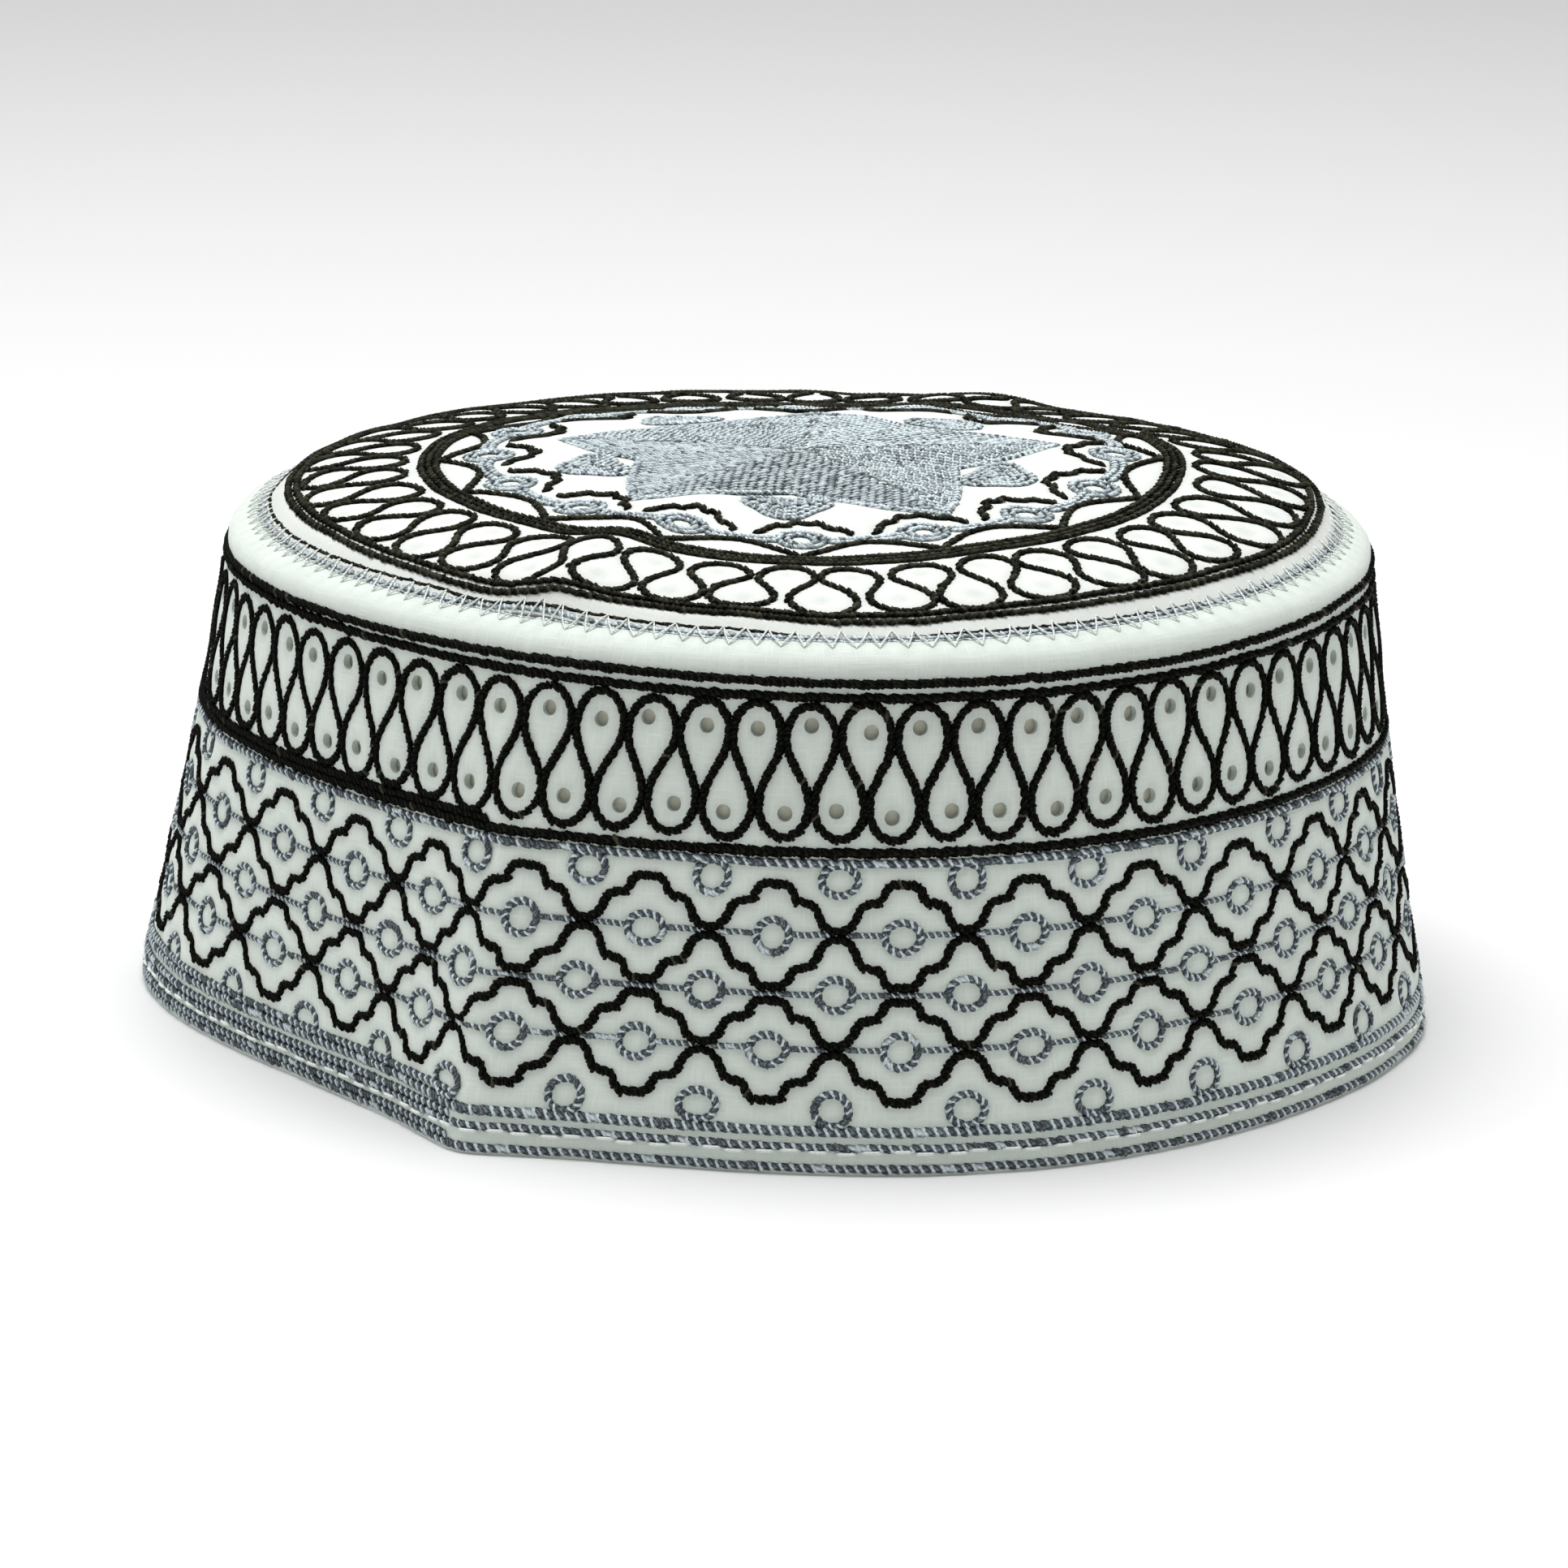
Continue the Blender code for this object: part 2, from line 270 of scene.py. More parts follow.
def even_points(path, step):
    """Even points along a flat path of straight runs, a step apart."""
    run = run_along(path)
    marks = np.linspace(0.0, run[-1], max(int(run[-1] / step), 1), endpoint=False)
    return np.stack([np.interp(marks, run, path[:, column]) for column in range(2)], axis=1)


class Cloth:
    """A flat-cut piece: place lays its points on the cap, and the nets hold how hard stitches pull it.

    Room is the distance from a point to the piece's nearest sewn edge, where the padding ends.
    """

    def __init__(self, place, room, low, size):
        self.place = place
        self.room = room
        self.low = np.array(low)
        self.shape = (int(round(size[1] / NET_CELL)), int(round(size[0] / NET_CELL)))
        self.nets = [np.zeros(self.shape), np.zeros(self.shape)]

    def press(self, paths):
        """Adds the paths' lengths to the net's knots and blurs it: a straight line reads 1 on its middle."""
        net = np.zeros(self.shape)
        for path in paths:
            knots = np.floor((even_points(path, NET_CELL / 2) - self.low) / NET_CELL).astype(int)
            np.add.at(net, (knots[:, 1] % self.shape[0], knots[:, 0] % self.shape[1]), NET_CELL / 2)
        up = np.fft.fftfreq(self.shape[0], NET_CELL)[:, None]
        across = np.fft.rfftfreq(self.shape[1], NET_CELL)[None, :]
        waves = np.fft.rfft2(net)
        for index, reach in enumerate((CREASE_REACH, SWELL_REACH)):
            blur = np.exp(-2.0 * (math.pi * reach) ** 2 * (up**2 + across**2))
            level = reach * math.sqrt(FULL_TURN) / NET_CELL**2
            self.nets[index] = np.fft.irfft2(waves * blur, s=self.shape) * level

    def read(self, net, x, y):
        """The net's value between its four nearest knots."""
        column = (x - self.low[0]) / NET_CELL - 0.5
        row = (y - self.low[1]) / NET_CELL - 0.5
        left = np.floor(column).astype(int)
        below = np.floor(row).astype(int)
        across = column - left
        up = row - below
        rows = (below % self.shape[0], (below + 1) % self.shape[0])
        columns = (left % self.shape[1], (left + 1) % self.shape[1])
        lower, upper = (net[row, columns[0]] * (1 - across) + net[row, columns[1]] * across for row in rows)
        return lower * (1 - up) + upper * up

    def pull(self, x, y):
        """From 0 on free cloth towards 1 under many stitches."""
        return 1.0 - np.exp(-PULL_RATE * self.read(self.nets[0], x, y))

    def normal(self, x, y):
        """Outward unit normal of the bare cap, square to a short step each way over the flat piece."""
        east = self.place(x + NORMAL_STEP, y) - self.place(x - NORMAL_STEP, y)
        north = self.place(x, y + NORMAL_STEP) - self.place(x, y - NORMAL_STEP)
        square = np.cross(east, north)
        return square / np.linalg.norm(square, axis=-1, keepdims=True)

    def relief(self, x, y):
        """Height of the cloth over the bare cap: padded up, sunk under stitches, and faintly uneven."""
        swell = 1.0 - np.exp(-PULL_RATE * self.read(self.nets[1], x, y))
        uneven = np.sin(x * 310.0 + 2.0 * np.sin(y * 190.0)) + np.sin(y * 350.0 + 2.0 * np.sin(x * 240.0))
        padded = LOFT * np.clip(self.room(x, y) / LOFT_REACH, 0.0, 1.0)
        return padded + UNEVEN * uneven - CREASE_DEPTH * self.pull(x, y) - SWELL_DEPTH * swell

    def surface(self, x, y, share=1.0):
        """Points of the cloth's face, with a share of its relief, and the normals they stand on."""
        normal = self.normal(x, y)
        height = (share * self.relief(x, y))[..., None]
        return self.place(x, y) + normal * height, normal


# %% [markdown]
# ## The band's pattern
# From the top: two black rows, a meander whose turns make teardrop loops above and below, a heavy black
# row, a grey row with hanging rings, two courses of stepped diamonds that share a grey row, and three
# rows along the hem. Left of the front crease the heavy row and the hem's rows were sewn twice, side by
# side. Everything repeats: 68 loops and 30 diamonds in a turn. A loop is a sine wave whose sideways
# swing overshoots, and a quarter of a diamond is a short table mirrored three ways.

# %% Sizes of the band's pattern
REPEATS = 30
CROSSING_PHASE = -0.23
LOOPS_ROUND = 68
UPPER_LOOP_PHASE = 0.7
LOOP_SWING = 0.318
# Size, pace and start of the lean of the loops
LOOP_SWAY = (0.05, 0.9, 0.0)
LOOP_MIDDLE = 0.05700
LOOP_REACH = 0.00950
LOOP_UNEVEN = 0.00022
HEAD_ROUNDING = 0.07
# A quarter of a diamond, from its peak to the crossing: share of the way across, share of the way up
DIAMOND_QUARTER = (
    (0.00, 1.00), (0.13, 1.00), (0.21, 0.96), (0.27, 0.86), (0.31, 0.73), (0.36, 0.64), (0.46, 0.61),
    (0.57, 0.57), (0.65, 0.48), (0.70, 0.33), (0.75, 0.19), (0.82, 0.08), (0.90, 0.015), (1.00, 0.00),
)
# Stepped rows: height of the peaks, height of the crossings
DIAMOND_ROWS = ((0.0411, 0.03455), (0.0266, 0.03335), (0.0245, 0.01830), (0.0105, 0.01705))
RING_RADIUS = 0.00230
# Rings: height, and place in the repeat
RINGS = ((0.0417, 0.0), (0.0337, 0.5), (0.0256, 0.0), (0.0176, 0.5), (0.0093, 0.0))
# Links between rings: height, start and end in the repeat
LINKS = (
    (0.0340, 0.08, 0.36), (0.0340, 0.64, 0.92), (0.0178, 0.08, 0.36), (0.0178, 0.64, 0.92),
    (0.0255, 0.14, 0.86),
)
# The two black rows under the shoulder: share of the way round, and height
UPPER_BLACK_ROW = (
    (0.00, 0.0700), (0.05, 0.0698), (0.10, 0.0695), (0.20, 0.0695), (0.28, 0.0701), (0.40, 0.0698),
    (0.60, 0.0695), (0.80, 0.0695), (0.90, 0.0697),
)
LOWER_BLACK_ROW = (
    (0.00, 0.0680), (0.04, 0.0677), (0.10, 0.0675), (0.14, 0.0674), (0.20, 0.0674), (0.26, 0.0677),
    (0.50, 0.0677), (0.80, 0.0684), (0.90, 0.0684), (0.96, 0.0682),
)
HEM_ROW_HEIGHT = 0.0063
HEM_ROW_RISE = 0.0007
DOUBLED_STRETCH = (0.74, 0.995)
DOUBLED_END = 0.27
DOUBLED_FADE = 0.03
ROW_POINTS = 720
# Drift of the repeats left and right of the front crease: its most, its middle and its reach
AHEAD = (0.0050, -0.073, 0.070)
BEHIND = (0.0060, 0.305, 0.060)


# %% Rows of the band
def from_front(share):
    """Share of the way round from the front crease, from -0.5 on the left to 0.5 on the right."""
    return (share + 0.5) % 1.0 - 0.5


def hump(share, most, middle, reach):
    """A parabola with its top at the middle, cut off at 0 where it has run its reach."""
    return most * np.maximum(0.0, 1.0 - ((from_front(share) - middle) / reach) ** 2)


def pattern_drift(share):
    """The repeats aren't quite even: they run ahead left of the front crease and lag on the right."""
    return hump(share, *AHEAD) - hump(share, *BEHIND)


def in_each_repeat(phase):
    """Shares of the way round of a place, or of several, in every repeat: a row for each repeat."""
    share = (np.arange(REPEATS)[:, None] + CROSSING_PHASE + phase) / REPEATS
    return share + pattern_drift(share)


def on_band(share, height):
    """Flat points of the band from a share of the way round and a height above the hem."""
    height = np.broadcast_to(height, np.shape(share))
    return np.stack([share * BAND_LENGTH, climb_to(height)], axis=-1)


def read_marks(share, marks):
    """Value at a share of the way round, along straight lines between marks of share and value."""
    places, values = np.array(marks).T
    return np.interp(share, places, values, period=1.0)


def level_row(height, wander=0.0, left_rise=0.0):
    """A row right round the band, which may wander, or rise on the stretch where rows are doubled."""
    share = np.linspace(0.0, 1.0, ROW_POINTS)
    front_fade = np.clip(-from_front(share) / DOUBLED_FADE, 0.0, 1.0)
    doubled = front_fade * np.clip((from_front(share) + DOUBLED_END) / DOUBLED_FADE, 0.0, 1.0)
    return on_band(share, height + wander * np.sin(3.0 * FULL_TURN * share + 1.0) + left_rise * doubled)


def row_through(marks):
    """A row right round the band through marks of share and height."""
    share = np.linspace(0.0, 1.0, ROW_POINTS)
    return on_band(share, read_marks(share, marks))


def second_rows(*heights):
    """Second rows beside others, on the doubled stretch alone."""
    share = np.linspace(*DOUBLED_STRETCH, 200)
    return [on_band(share, height) for height in heights]


def rounded_wave(loops):
    """A cosine of one wave a loop, with a little of the third harmonic, which rounds its peaks."""
    wave = np.cos(FULL_TURN * loops) + HEAD_ROUNDING * np.cos(3.0 * FULL_TURN * loops)
    return wave / (1.0 + HEAD_ROUNDING)


def swung_loops(count, phase, swing, sway):
    """Loops passed, and shares of the way round: a sine at twice the pace swings the line over itself."""
    loops = np.linspace(0.0, count, count * 40 + 1)
    size, pace, start = sway
    lean = size * np.sin(pace * loops + start) * np.cos(FULL_TURN * loops)
    return loops, (loops + phase + swing * np.sin(2.0 * FULL_TURN * loops) + lean) / count


def meander():
    """The line of the loops: its height is a rounded wave of the loops passed."""
    loops, share = swung_loops(LOOPS_ROUND, UPPER_LOOP_PHASE, LOOP_SWING, LOOP_SWAY)
    reach = LOOP_REACH + LOOP_UNEVEN * np.sin(2.3 * loops)
    return on_band(share, LOOP_MIDDLE + reach * rounded_wave(loops))


def stepped_row(peak, crossing):
    """A stepped wave: at each diamond's middle it reaches peak, and it rests at the crossings."""
    quarter = smooth_line(DIAMOND_QUARTER, closed=False, per_span=3)
    across = np.concatenate([-quarter[::-1, 0], quarter[1:-1, 0]])
    up = np.concatenate([quarter[::-1, 1], quarter[1:-1, 1]])
    height = np.tile(crossing + (peak - crossing) * up, REPEATS)
    path = on_band(in_each_repeat(0.5 + 0.5 * across).ravel(), height)
    return np.vstack([path, path[:1] + [BAND_LENGTH, 0.0]])


def ring_path(centre, across, up, corners=24):
    """A closed oval round a flat point."""
    turn = np.linspace(0.0, FULL_TURN, corners + 1)
    return centre + np.stack([across * np.sin(turn), up * np.cos(turn)], axis=1)


def rings_at(height, phase):
    """One small ring in every repeat, each a little wider or taller than the last."""
    squash = 1.0 + 0.06 * np.sin(2.7 * np.arange(REPEATS) + 900.0 * height)
    centres = on_band(in_each_repeat(phase)[:, 0], height)
    across, up = 1.07 * RING_RADIUS * squash, 0.95 * RING_RADIUS / squash
    return [ring_path(*sizes) for sizes in zip(centres, across, up)]


def links_at(height, start, end):
    """A short level run inside every repeat."""
    return list(on_band(in_each_repeat(np.linspace(start, end, 9)), height))


# %% Lines of the band
black_rows = [row_through(UPPER_BLACK_ROW), row_through(LOWER_BLACK_ROW)]
heavy_row = [level_row(0.0456)] + second_rows(0.0467)
black_loops = [meander()]
black_diamonds = [stepped_row(*heights) for heights in DIAMOND_ROWS]
grey_rings = [path for place in RINGS for path in rings_at(*place)]
grey_links = [path for place in LINKS for path in links_at(*place)]
grey_rows = [level_row(0.0441), level_row(0.0040, 0.0001), level_row(0.0011)]
grey_rows += second_rows(0.0082, 0.0051, 0.0021)
hem_row = [level_row(HEM_ROW_HEIGHT, left_rise=HEM_ROW_RISE)]
band_lines = (
    black_rows + heavy_row + black_loops + black_diamonds + grey_rings + grey_links + grey_rows + hem_row)
print("band lines", len(band_lines))

# %% [markdown]
# ## The crown's pattern
# Rings inside rings: a double black row near the seam, a meander of 40 loops, a heavy ring three rows
# wide, sixteen cells with a grey ring in each, and a five-pointed star in the middle with a small grey
# leaf in each of its notches. The flat disc makes this easy, because a share of a turn and a half-width
# are polar coordinates there.

# %% Sizes of the crown's pattern
CROWN_LOOPS = 40
CROWN_LOOP_PHASE = 0.44
CROWN_LOOP_SWING = 0.288
CROWN_LOOP_SWAY = (0.09, 1.9, 1.0)
CROWN_LOOP_MIDDLE = 0.0653
CROWN_LOOP_REACH = 0.0077
CROWN_LOOP_UNEVEN = 0.0004
STRAY_START = 0.0600
STRAY_REACH = 0.0130
CELLS = 16
CELL_PHASE = 1.267
CELL_HALF_WIDTH = 0.0455
SCALLOP_FOOT = 0.0475
SCALLOP_RISE = 0.0050
ARC_HALF_WIDTH = 0.0440
ARC_DIP = 0.0054
ARC_MIDDLE = 0.01
ARC_WIDTH = 0.82
ARC_STEP = 0.0005
ARC_STEP_LENGTH = 0.205
# Across, up and corners of the two rings in a cell
CELL_RINGS = ((0.0033, 0.0031, 24), (0.0020, 0.0018, 16))
CELL_LINK_START = 0.22
CELL_LINK_LENGTH = 0.56
CELL_LINK_BOW = 0.0006
CELL_LINK_ROWS = (0.0453, 0.0465)
RING_POINTS = 540
# Each point of the star: degrees round from the front crease, half-width of its tip
STAR_TIPS = ((60.0, 0.0400), (124.0, 0.0372), (204.0, 0.0372), (285.0, 0.0360), (349.0, 0.0385))
NOTCH_HALF_WIDTH = 0.0248
FILL_SPACING = 0.00118
STAR_EDGE_BULGE = 0.52
LEAF_HALF_WIDTH = 0.0318
LEAF_ACROSS = 0.0058
LEAF_UP = 0.0042
LEAF_RINGS = (1.0, 0.72, 0.46, 0.20)
# How far outward the outer rows stray: share of the way round, and metres
BLACK_STRAY = (
    (0.005, 0.0008), (0.015, -0.0002), (0.03, -0.0005), (0.06, -0.0003), (0.075, 0.0), (0.09, 0.0008),
    (0.11, 0.0007), (0.14, 0.0003), (0.22, 0.0004), (0.27, 0.0010), (0.33, 0.0005), (0.50, 0.0),
    (0.80, -0.0002), (0.90, -0.0005), (0.92, 0.0), (0.94, 0.0002), (0.96, 0.0008), (0.98, 0.0014),
    (0.995, 0.0016),
)
SEAM_STRAY = (
    (0.0, 0.0006), (0.02, 0.0), (0.06, 0.0), (0.08, 0.0007), (0.10, 0.0011), (0.12, 0.0007),
    (0.15, 0.0006), (0.20, 0.0008), (0.28, 0.0010), (0.40, 0.0005), (0.60, 0.0), (0.96, 0.0),
    (0.98, 0.0006),
)
NO_STRAY = ((0.0, 0.0),)


# %% Rings, loops and cells of the crown
def on_crown(share, half_width):
    """Flat points of the crown from a share of the way round and a half-width."""
    turn = FULL_TURN * np.asarray(share)
    return np.stack([half_width * np.sin(turn), -half_width * np.cos(turn)], axis=-1)


def ring_row(half_width, wander=0.0, marks=NO_STRAY):
    """A row right round the crown, which may wander, or stray by its marks."""
    share = np.linspace(0.0, 1.0, RING_POINTS)
    return on_crown(share, half_width + wander * np.sin(5.0 * FULL_TURN * share) + read_marks(share, marks))


def crown_meander():
    """As the band's meander, fanned out; its outer ends stray with the black rows that they touch."""
    loops, share = swung_loops(CROWN_LOOPS, CROWN_LOOP_PHASE, CROWN_LOOP_SWING, CROWN_LOOP_SWAY)
    reach = CROWN_LOOP_REACH + CROWN_LOOP_UNEVEN * np.sin(2.6 * loops + 0.5)
    half_width = CROWN_LOOP_MIDDLE + reach * rounded_wave(loops)
    outer = np.clip((half_width - STRAY_START) / STRAY_REACH, 0.0, 1.0)
    return on_crown(share, half_width + outer * read_marks(share, BLACK_STRAY))


def cell_rows():
    """A line of scallops that stand on the heavy ring at each cell, and an arc inside each cell's ring."""
    cells = np.linspace(0.0, CELLS, CELLS * 28 + 1)
    near_cell = np.abs(2.0 * (cells % 1.0) - 1.0)
    paths = [on_crown((cells + CELL_PHASE) / CELLS, SCALLOP_FOOT + SCALLOP_RISE * near_cell**1.7)]
    across = np.linspace(-0.5, 0.5, 30)
    part = ARC_MIDDLE + ARC_WIDTH * across
    dip = ARC_DIP * np.cos(math.pi * across)
    for cell in range(CELLS):
        steps = ARC_STEP * np.sin(FULL_TURN * part / ARC_STEP_LENGTH + 0.4 * cell)
        paths.append(on_crown((cell + CELL_PHASE + part) / CELLS, ARC_HALF_WIDTH - dip + steps))
    return paths


def cell_rings():
    """Two turns of grey round each cell's small white eye."""
    centres = on_crown((np.arange(CELLS) + CELL_PHASE) / CELLS, CELL_HALF_WIDTH)
    return [ring_path(centre, *sizes) for centre in centres for sizes in CELL_RINGS]


def cell_links():
    """Grey runs that join the cells, two side by side, each bowed outward by half a sine."""
    part = np.linspace(0.0, 1.0, 12)
    bow = CELL_LINK_BOW * np.sin(math.pi * part)
    paths = []
    for cell in range(CELLS):
        share = (cell + CELL_PHASE + CELL_LINK_START + CELL_LINK_LENGTH * part) / CELLS
        paths += [on_crown(share, half_width + bow) for half_width in CELL_LINK_ROWS]
    return paths


# %% Star and leaves of the crown
def star_corner(index):
    """A tip of the star, and the notch after it, half way to the next tip."""
    degrees, reach = STAR_TIPS[index % len(STAR_TIPS)]
    gap = (STAR_TIPS[(index + 1) % len(STAR_TIPS)][0] - degrees) % 360.0
    return on_crown(degrees / 360.0, reach), on_crown((degrees + gap / 2.0) / 360.0, NOTCH_HALF_WIDTH)


def star_rows():
    """Rows that fill the star.

    Each point is split along its middle. In a half, rows run beside the notch line, from the middle of
    the point out to its edge, one row's width apart, so the two halves meet in chevrons.
    """
    paths = []
    for index in range(len(STAR_TIPS)):
        tip, notch_after = star_corner(index)
        _, notch_before = star_corner(index - 1)
        for notch in (notch_before, notch_after):
            across = abs(tip[0] * notch[1] - tip[1] * notch[0]) / np.linalg.norm(notch)
            count = int(across / FILL_SPACING)
            for row in range(count):
                part = (row + 0.5) / count
                start = tip * part + notch * 0.03 * math.sin(7.1 * row + 2.0 * index)
                end = notch + (tip - notch) * part
                bulge = 1.0 + 0.05 * math.sin(math.pi * part)
                paths.append(np.linspace(start, end * bulge, 10))
    return paths


def star_edge():
    """The star's outline, one row that hides the ends of the filling."""
    corners = []
    for index in range(len(STAR_TIPS)):
        tip, notch = star_corner(index)
        next_tip, _ = star_corner(index + 1)
        corners += [tip, (tip + notch) * STAR_EDGE_BULGE, notch, (notch + next_tip) * STAR_EDGE_BULGE]
    return np.vstack([corners, corners[:1]])


def leaf_rows():
    """A three-lobed leaf in each notch, as rings inside rings."""
    turn = np.linspace(0.0, FULL_TURN, 37)[:, None]
    paths = []
    for index in range(len(STAR_TIPS)):
        outward = star_corner(index)[1] / NOTCH_HALF_WIDTH
        sideways = np.array([-outward[1], outward[0]])
        for scale in LEAF_RINGS:
            lobes = scale * (1.0 + 0.17 * np.cos(3.0 * turn))
            up = LEAF_HALF_WIDTH + LEAF_UP * lobes * np.cos(turn)
            paths.append(outward * up + sideways * (LEAF_ACROSS * lobes * np.sin(turn)))
    return paths


crown_black = [ring_row(0.0748, 0.0, BLACK_STRAY), ring_row(0.0734, 0.00015, BLACK_STRAY), crown_meander()]
heavy_ring = [ring_row(0.0531), ring_row(0.0542), ring_row(0.0553)]
crown_cells = cell_rows()
crown_grey = cell_rings() + cell_links() + leaf_rows()
star_fill = star_rows() + [ring_path(np.zeros(2), 0.0011, 0.0011, 10)]
star_outline = [star_edge()]
crown_lines = crown_black + heavy_ring + crown_cells + crown_grey + star_fill + star_outline
print("crown lines", len(crown_lines))

# %% [markdown]
# ## Pull the cloth in
# Both pieces now take all their lines. The eyelets of the band count as well: a hole that is punched in
# padded cloth drags its edge down. On the crown the eyelets are only dimples.

# %% Eyelets, dimples and the seam's nicks
EYELET_RADIUS = 0.00115
EYELET_WANDER = 0.0005
# Height, and place in the loop, of the upper and the lower eyelets
EYELET_ROWS = ((0.0631, 0.7), (0.0511, 0.2))
# Half-width, place in the loop, pace of the unevenness, of the outer and the inner dimples
DIMPLE_ROWS = ((0.0700, 0.0, 3.1), (0.0610, 0.5, 2.3))
ZIGZAG_TEETH = 142
TOOTH_TALL = 0.0034
TOOTH_ON_CROWN = 0.44
NICK_TALL = 0.0010
EYELET_PULL_RADIUS = 0.0009
DIMPLE_PULL_RADIUS = 0.0005


def eyelet_wander(index, row):
    """Small shifts, along and up, that keep the hand-cut eyelets from lining up exactly."""
    return (EYELET_WANDER * np.sin(2.4 * index + 1.7 * row),
            EYELET_WANDER * np.sin(3.9 * index + 0.6 + 2.1 * row))


def eyelet_centres():
    """Flat centres of all the band's eyelets."""
    index = np.arange(LOOPS_ROUND)
    return np.vstack([
        on_band((index + phase) / LOOPS_ROUND, height) + np.stack(eyelet_wander(index, row), axis=1)
        for row, (height, phase) in enumerate(EYELET_ROWS)])


def crown_dimples():
    """Flat centres of the dimples in the crown's loops, outer and inner."""
    index = np.arange(CROWN_LOOPS)
    return np.vstack([
        on_crown((index + CROWN_LOOP_PHASE + phase) / CROWN_LOOPS, half_width + 0.0006 * np.sin(pace * index))
        for half_width, phase, pace in DIMPLE_ROWS])


def zigzag_nicks():
    """Short nicks in the shoulder, one under the low end of each tooth of the seam's zigzag."""
    low = BAND_TALL - TOOTH_TALL * (1.0 - TOOTH_ON_CROWN)
    nick = np.array([[0.0, low], [0.0, low - NICK_TALL]])
    return [nick + [BAND_LENGTH * (tooth + 0.5) / ZIGZAG_TEETH, 0.0] for tooth in range(ZIGZAG_TEETH)]


# %% The pressed pieces
def band_room(x, y):
    """Distance from the band's hem or from the seam, whichever is nearer."""
    return np.minimum(y, BAND_TALL - y) + 0.0 * x


def crown_room(x, y):
    """Distance from the seam round the crown."""
    return SEAM_HALF_WIDTH - np.hypot(x, y)


NET_MARGIN = 0.006
CROWN_NET = 0.170
band = Cloth(place_on_band, band_room, (0.0, -NET_MARGIN), (BAND_LENGTH, BAND_TALL + 2 * NET_MARGIN))
crown = Cloth(place_on_crown, crown_room, (-CROWN_NET / 2, -CROWN_NET / 2), (CROWN_NET, CROWN_NET))
seam_pull = [on_band(np.linspace(0.0, 1.0, ROW_POINTS), SEAM_HEIGHT)] + zigzag_nicks()
band.press(
    band_lines + seam_pull
    + [ring_path(centre, EYELET_PULL_RADIUS, EYELET_PULL_RADIUS, 12) for centre in eyelet_centres()])
crown.press(
    crown_lines + [ring_row(0.0766), ring_row(SEAM_HALF_WIDTH)]
    + [ring_path(centre, DIMPLE_PULL_RADIUS, DIMPLE_PULL_RADIUS, 8) for centre in crown_dimples()])
print("nets", band.shape, crown.shape)

# %% [markdown]
# ## From arrays to meshes
# Every piece below ends as an array of points and arrays of faces. One helper turns them into an
# object: it drops unused points, fills the mesh in one go, and stores a flat map for the weave and a
# value at each point for the colour.

# %% Mesh helpers
SHARP_ANGLE = math.radians(50.0)
FLAT_UNITS_PER_METRE = 100.0
PLY_PERIOD = FLAT_UNITS_PER_METRE / 2.0


def wrap_faces(number):
    """Squares of a grid of point numbers that closes on itself both ways."""
    after = np.roll(number, -1, axis=1)
    return np.stack([number, after, np.roll(after, -1, axis=0), np.roll(number, -1, axis=0)], axis=-1)


def make_piece(name, points, faces, material, flat=None, flat_round=None, **values):
    """An object from points and a list of face arrays, each with three or four corners to a row."""
    corners = np.concatenate([face.ravel() for face in faces])
    used, corners = np.unique(corners, return_inverse=True)
    corners = corners.ravel()
    sizes = np.concatenate([np.full(len(face), face.shape[1]) for face in faces])
    starts = np.concatenate([[0], np.cumsum(sizes)[:-1]])
    mesh = bpy.data.meshes.new(name)
    mesh.vertices.add(len(used))
    mesh.vertices.foreach_set("co", points[used].astype(np.float32).ravel())
    mesh.loops.add(len(corners))
    mesh.loops.foreach_set("vertex_index", corners.astype(np.int32))
    mesh.polygons.add(len(sizes))
    mesh.polygons.foreach_set("loop_start", starts.astype(np.int32))
    mesh.update(calc_edges=True)
    mesh.validate()
    mesh.polygons.foreach_set("use_smooth", np.ones(len(sizes), bool))
    if flat is not None:
        places = flat[used][corners]
        if flat_round is not None:
            first = np.repeat(places[starts, 0], sizes)
            places[:, 0] += flat_round * np.round((first - places[:, 0]) / flat_round)
        layer = mesh.uv_layers.new(name="flat")
        layer.data.foreach_set("uv", (places * FLAT_UNITS_PER_METRE).astype(np.float32).ravel())
    for key, value in values.items():
        mesh.attributes.new(key, "FLOAT", "POINT").data.foreach_set("value", value[used].astype(np.float32))
    mesh.materials.append(material)
    piece = bpy.data.objects.new(name, mesh)
    bpy.context.scene.collection.objects.link(piece)
    print(f"{name}: {len(used)} points, {int((sizes - 2).sum())} triangles")
    return piece


# %% [markdown]
# ## Finishes
# The cotton is matt and nearly white, with a plain weave too fine for geometry, so the weave is bump
# on the cloth's own flat map. It is painted a touch greyer where stitches pull it: painted shade in the
# creases between the threads, with a little lint. The embroidery thread is a glossy rayon: black with a
# greenish painted sheen, and a slate grey with painted silver glints, set by each stitch's angle and by
# chance.

# %% Node helpers
def new_material(name, **sockets):
    """A material, its node tree and its shader, with some of the shader's sockets set."""
    material = bpy.data.materials.new(name)
    material.use_nodes = True
    shader = material.node_tree.nodes["Principled BSDF"]
    for socket, value in sockets.items():
        shader.inputs[socket.replace("_", " ")].default_value = value
    return material, material.node_tree, shader


def add_node(tree, kind, settings=None, **inputs):
    """A node with its settings and inputs; an input that is a socket is linked, any other is a value."""
    node = tree.nodes.new(kind)
    for key, value in (settings or {}).items():
        setattr(node, key, value)
    for key, value in inputs.items():
        socket = node.inputs[int(key[1:])] if key[1:].isdigit() else node.inputs[key.replace("_", " ")]
        if isinstance(value, bpy.types.NodeSocket):
            tree.links.new(value, socket)
        else:
            socket.default_value = value
    return node


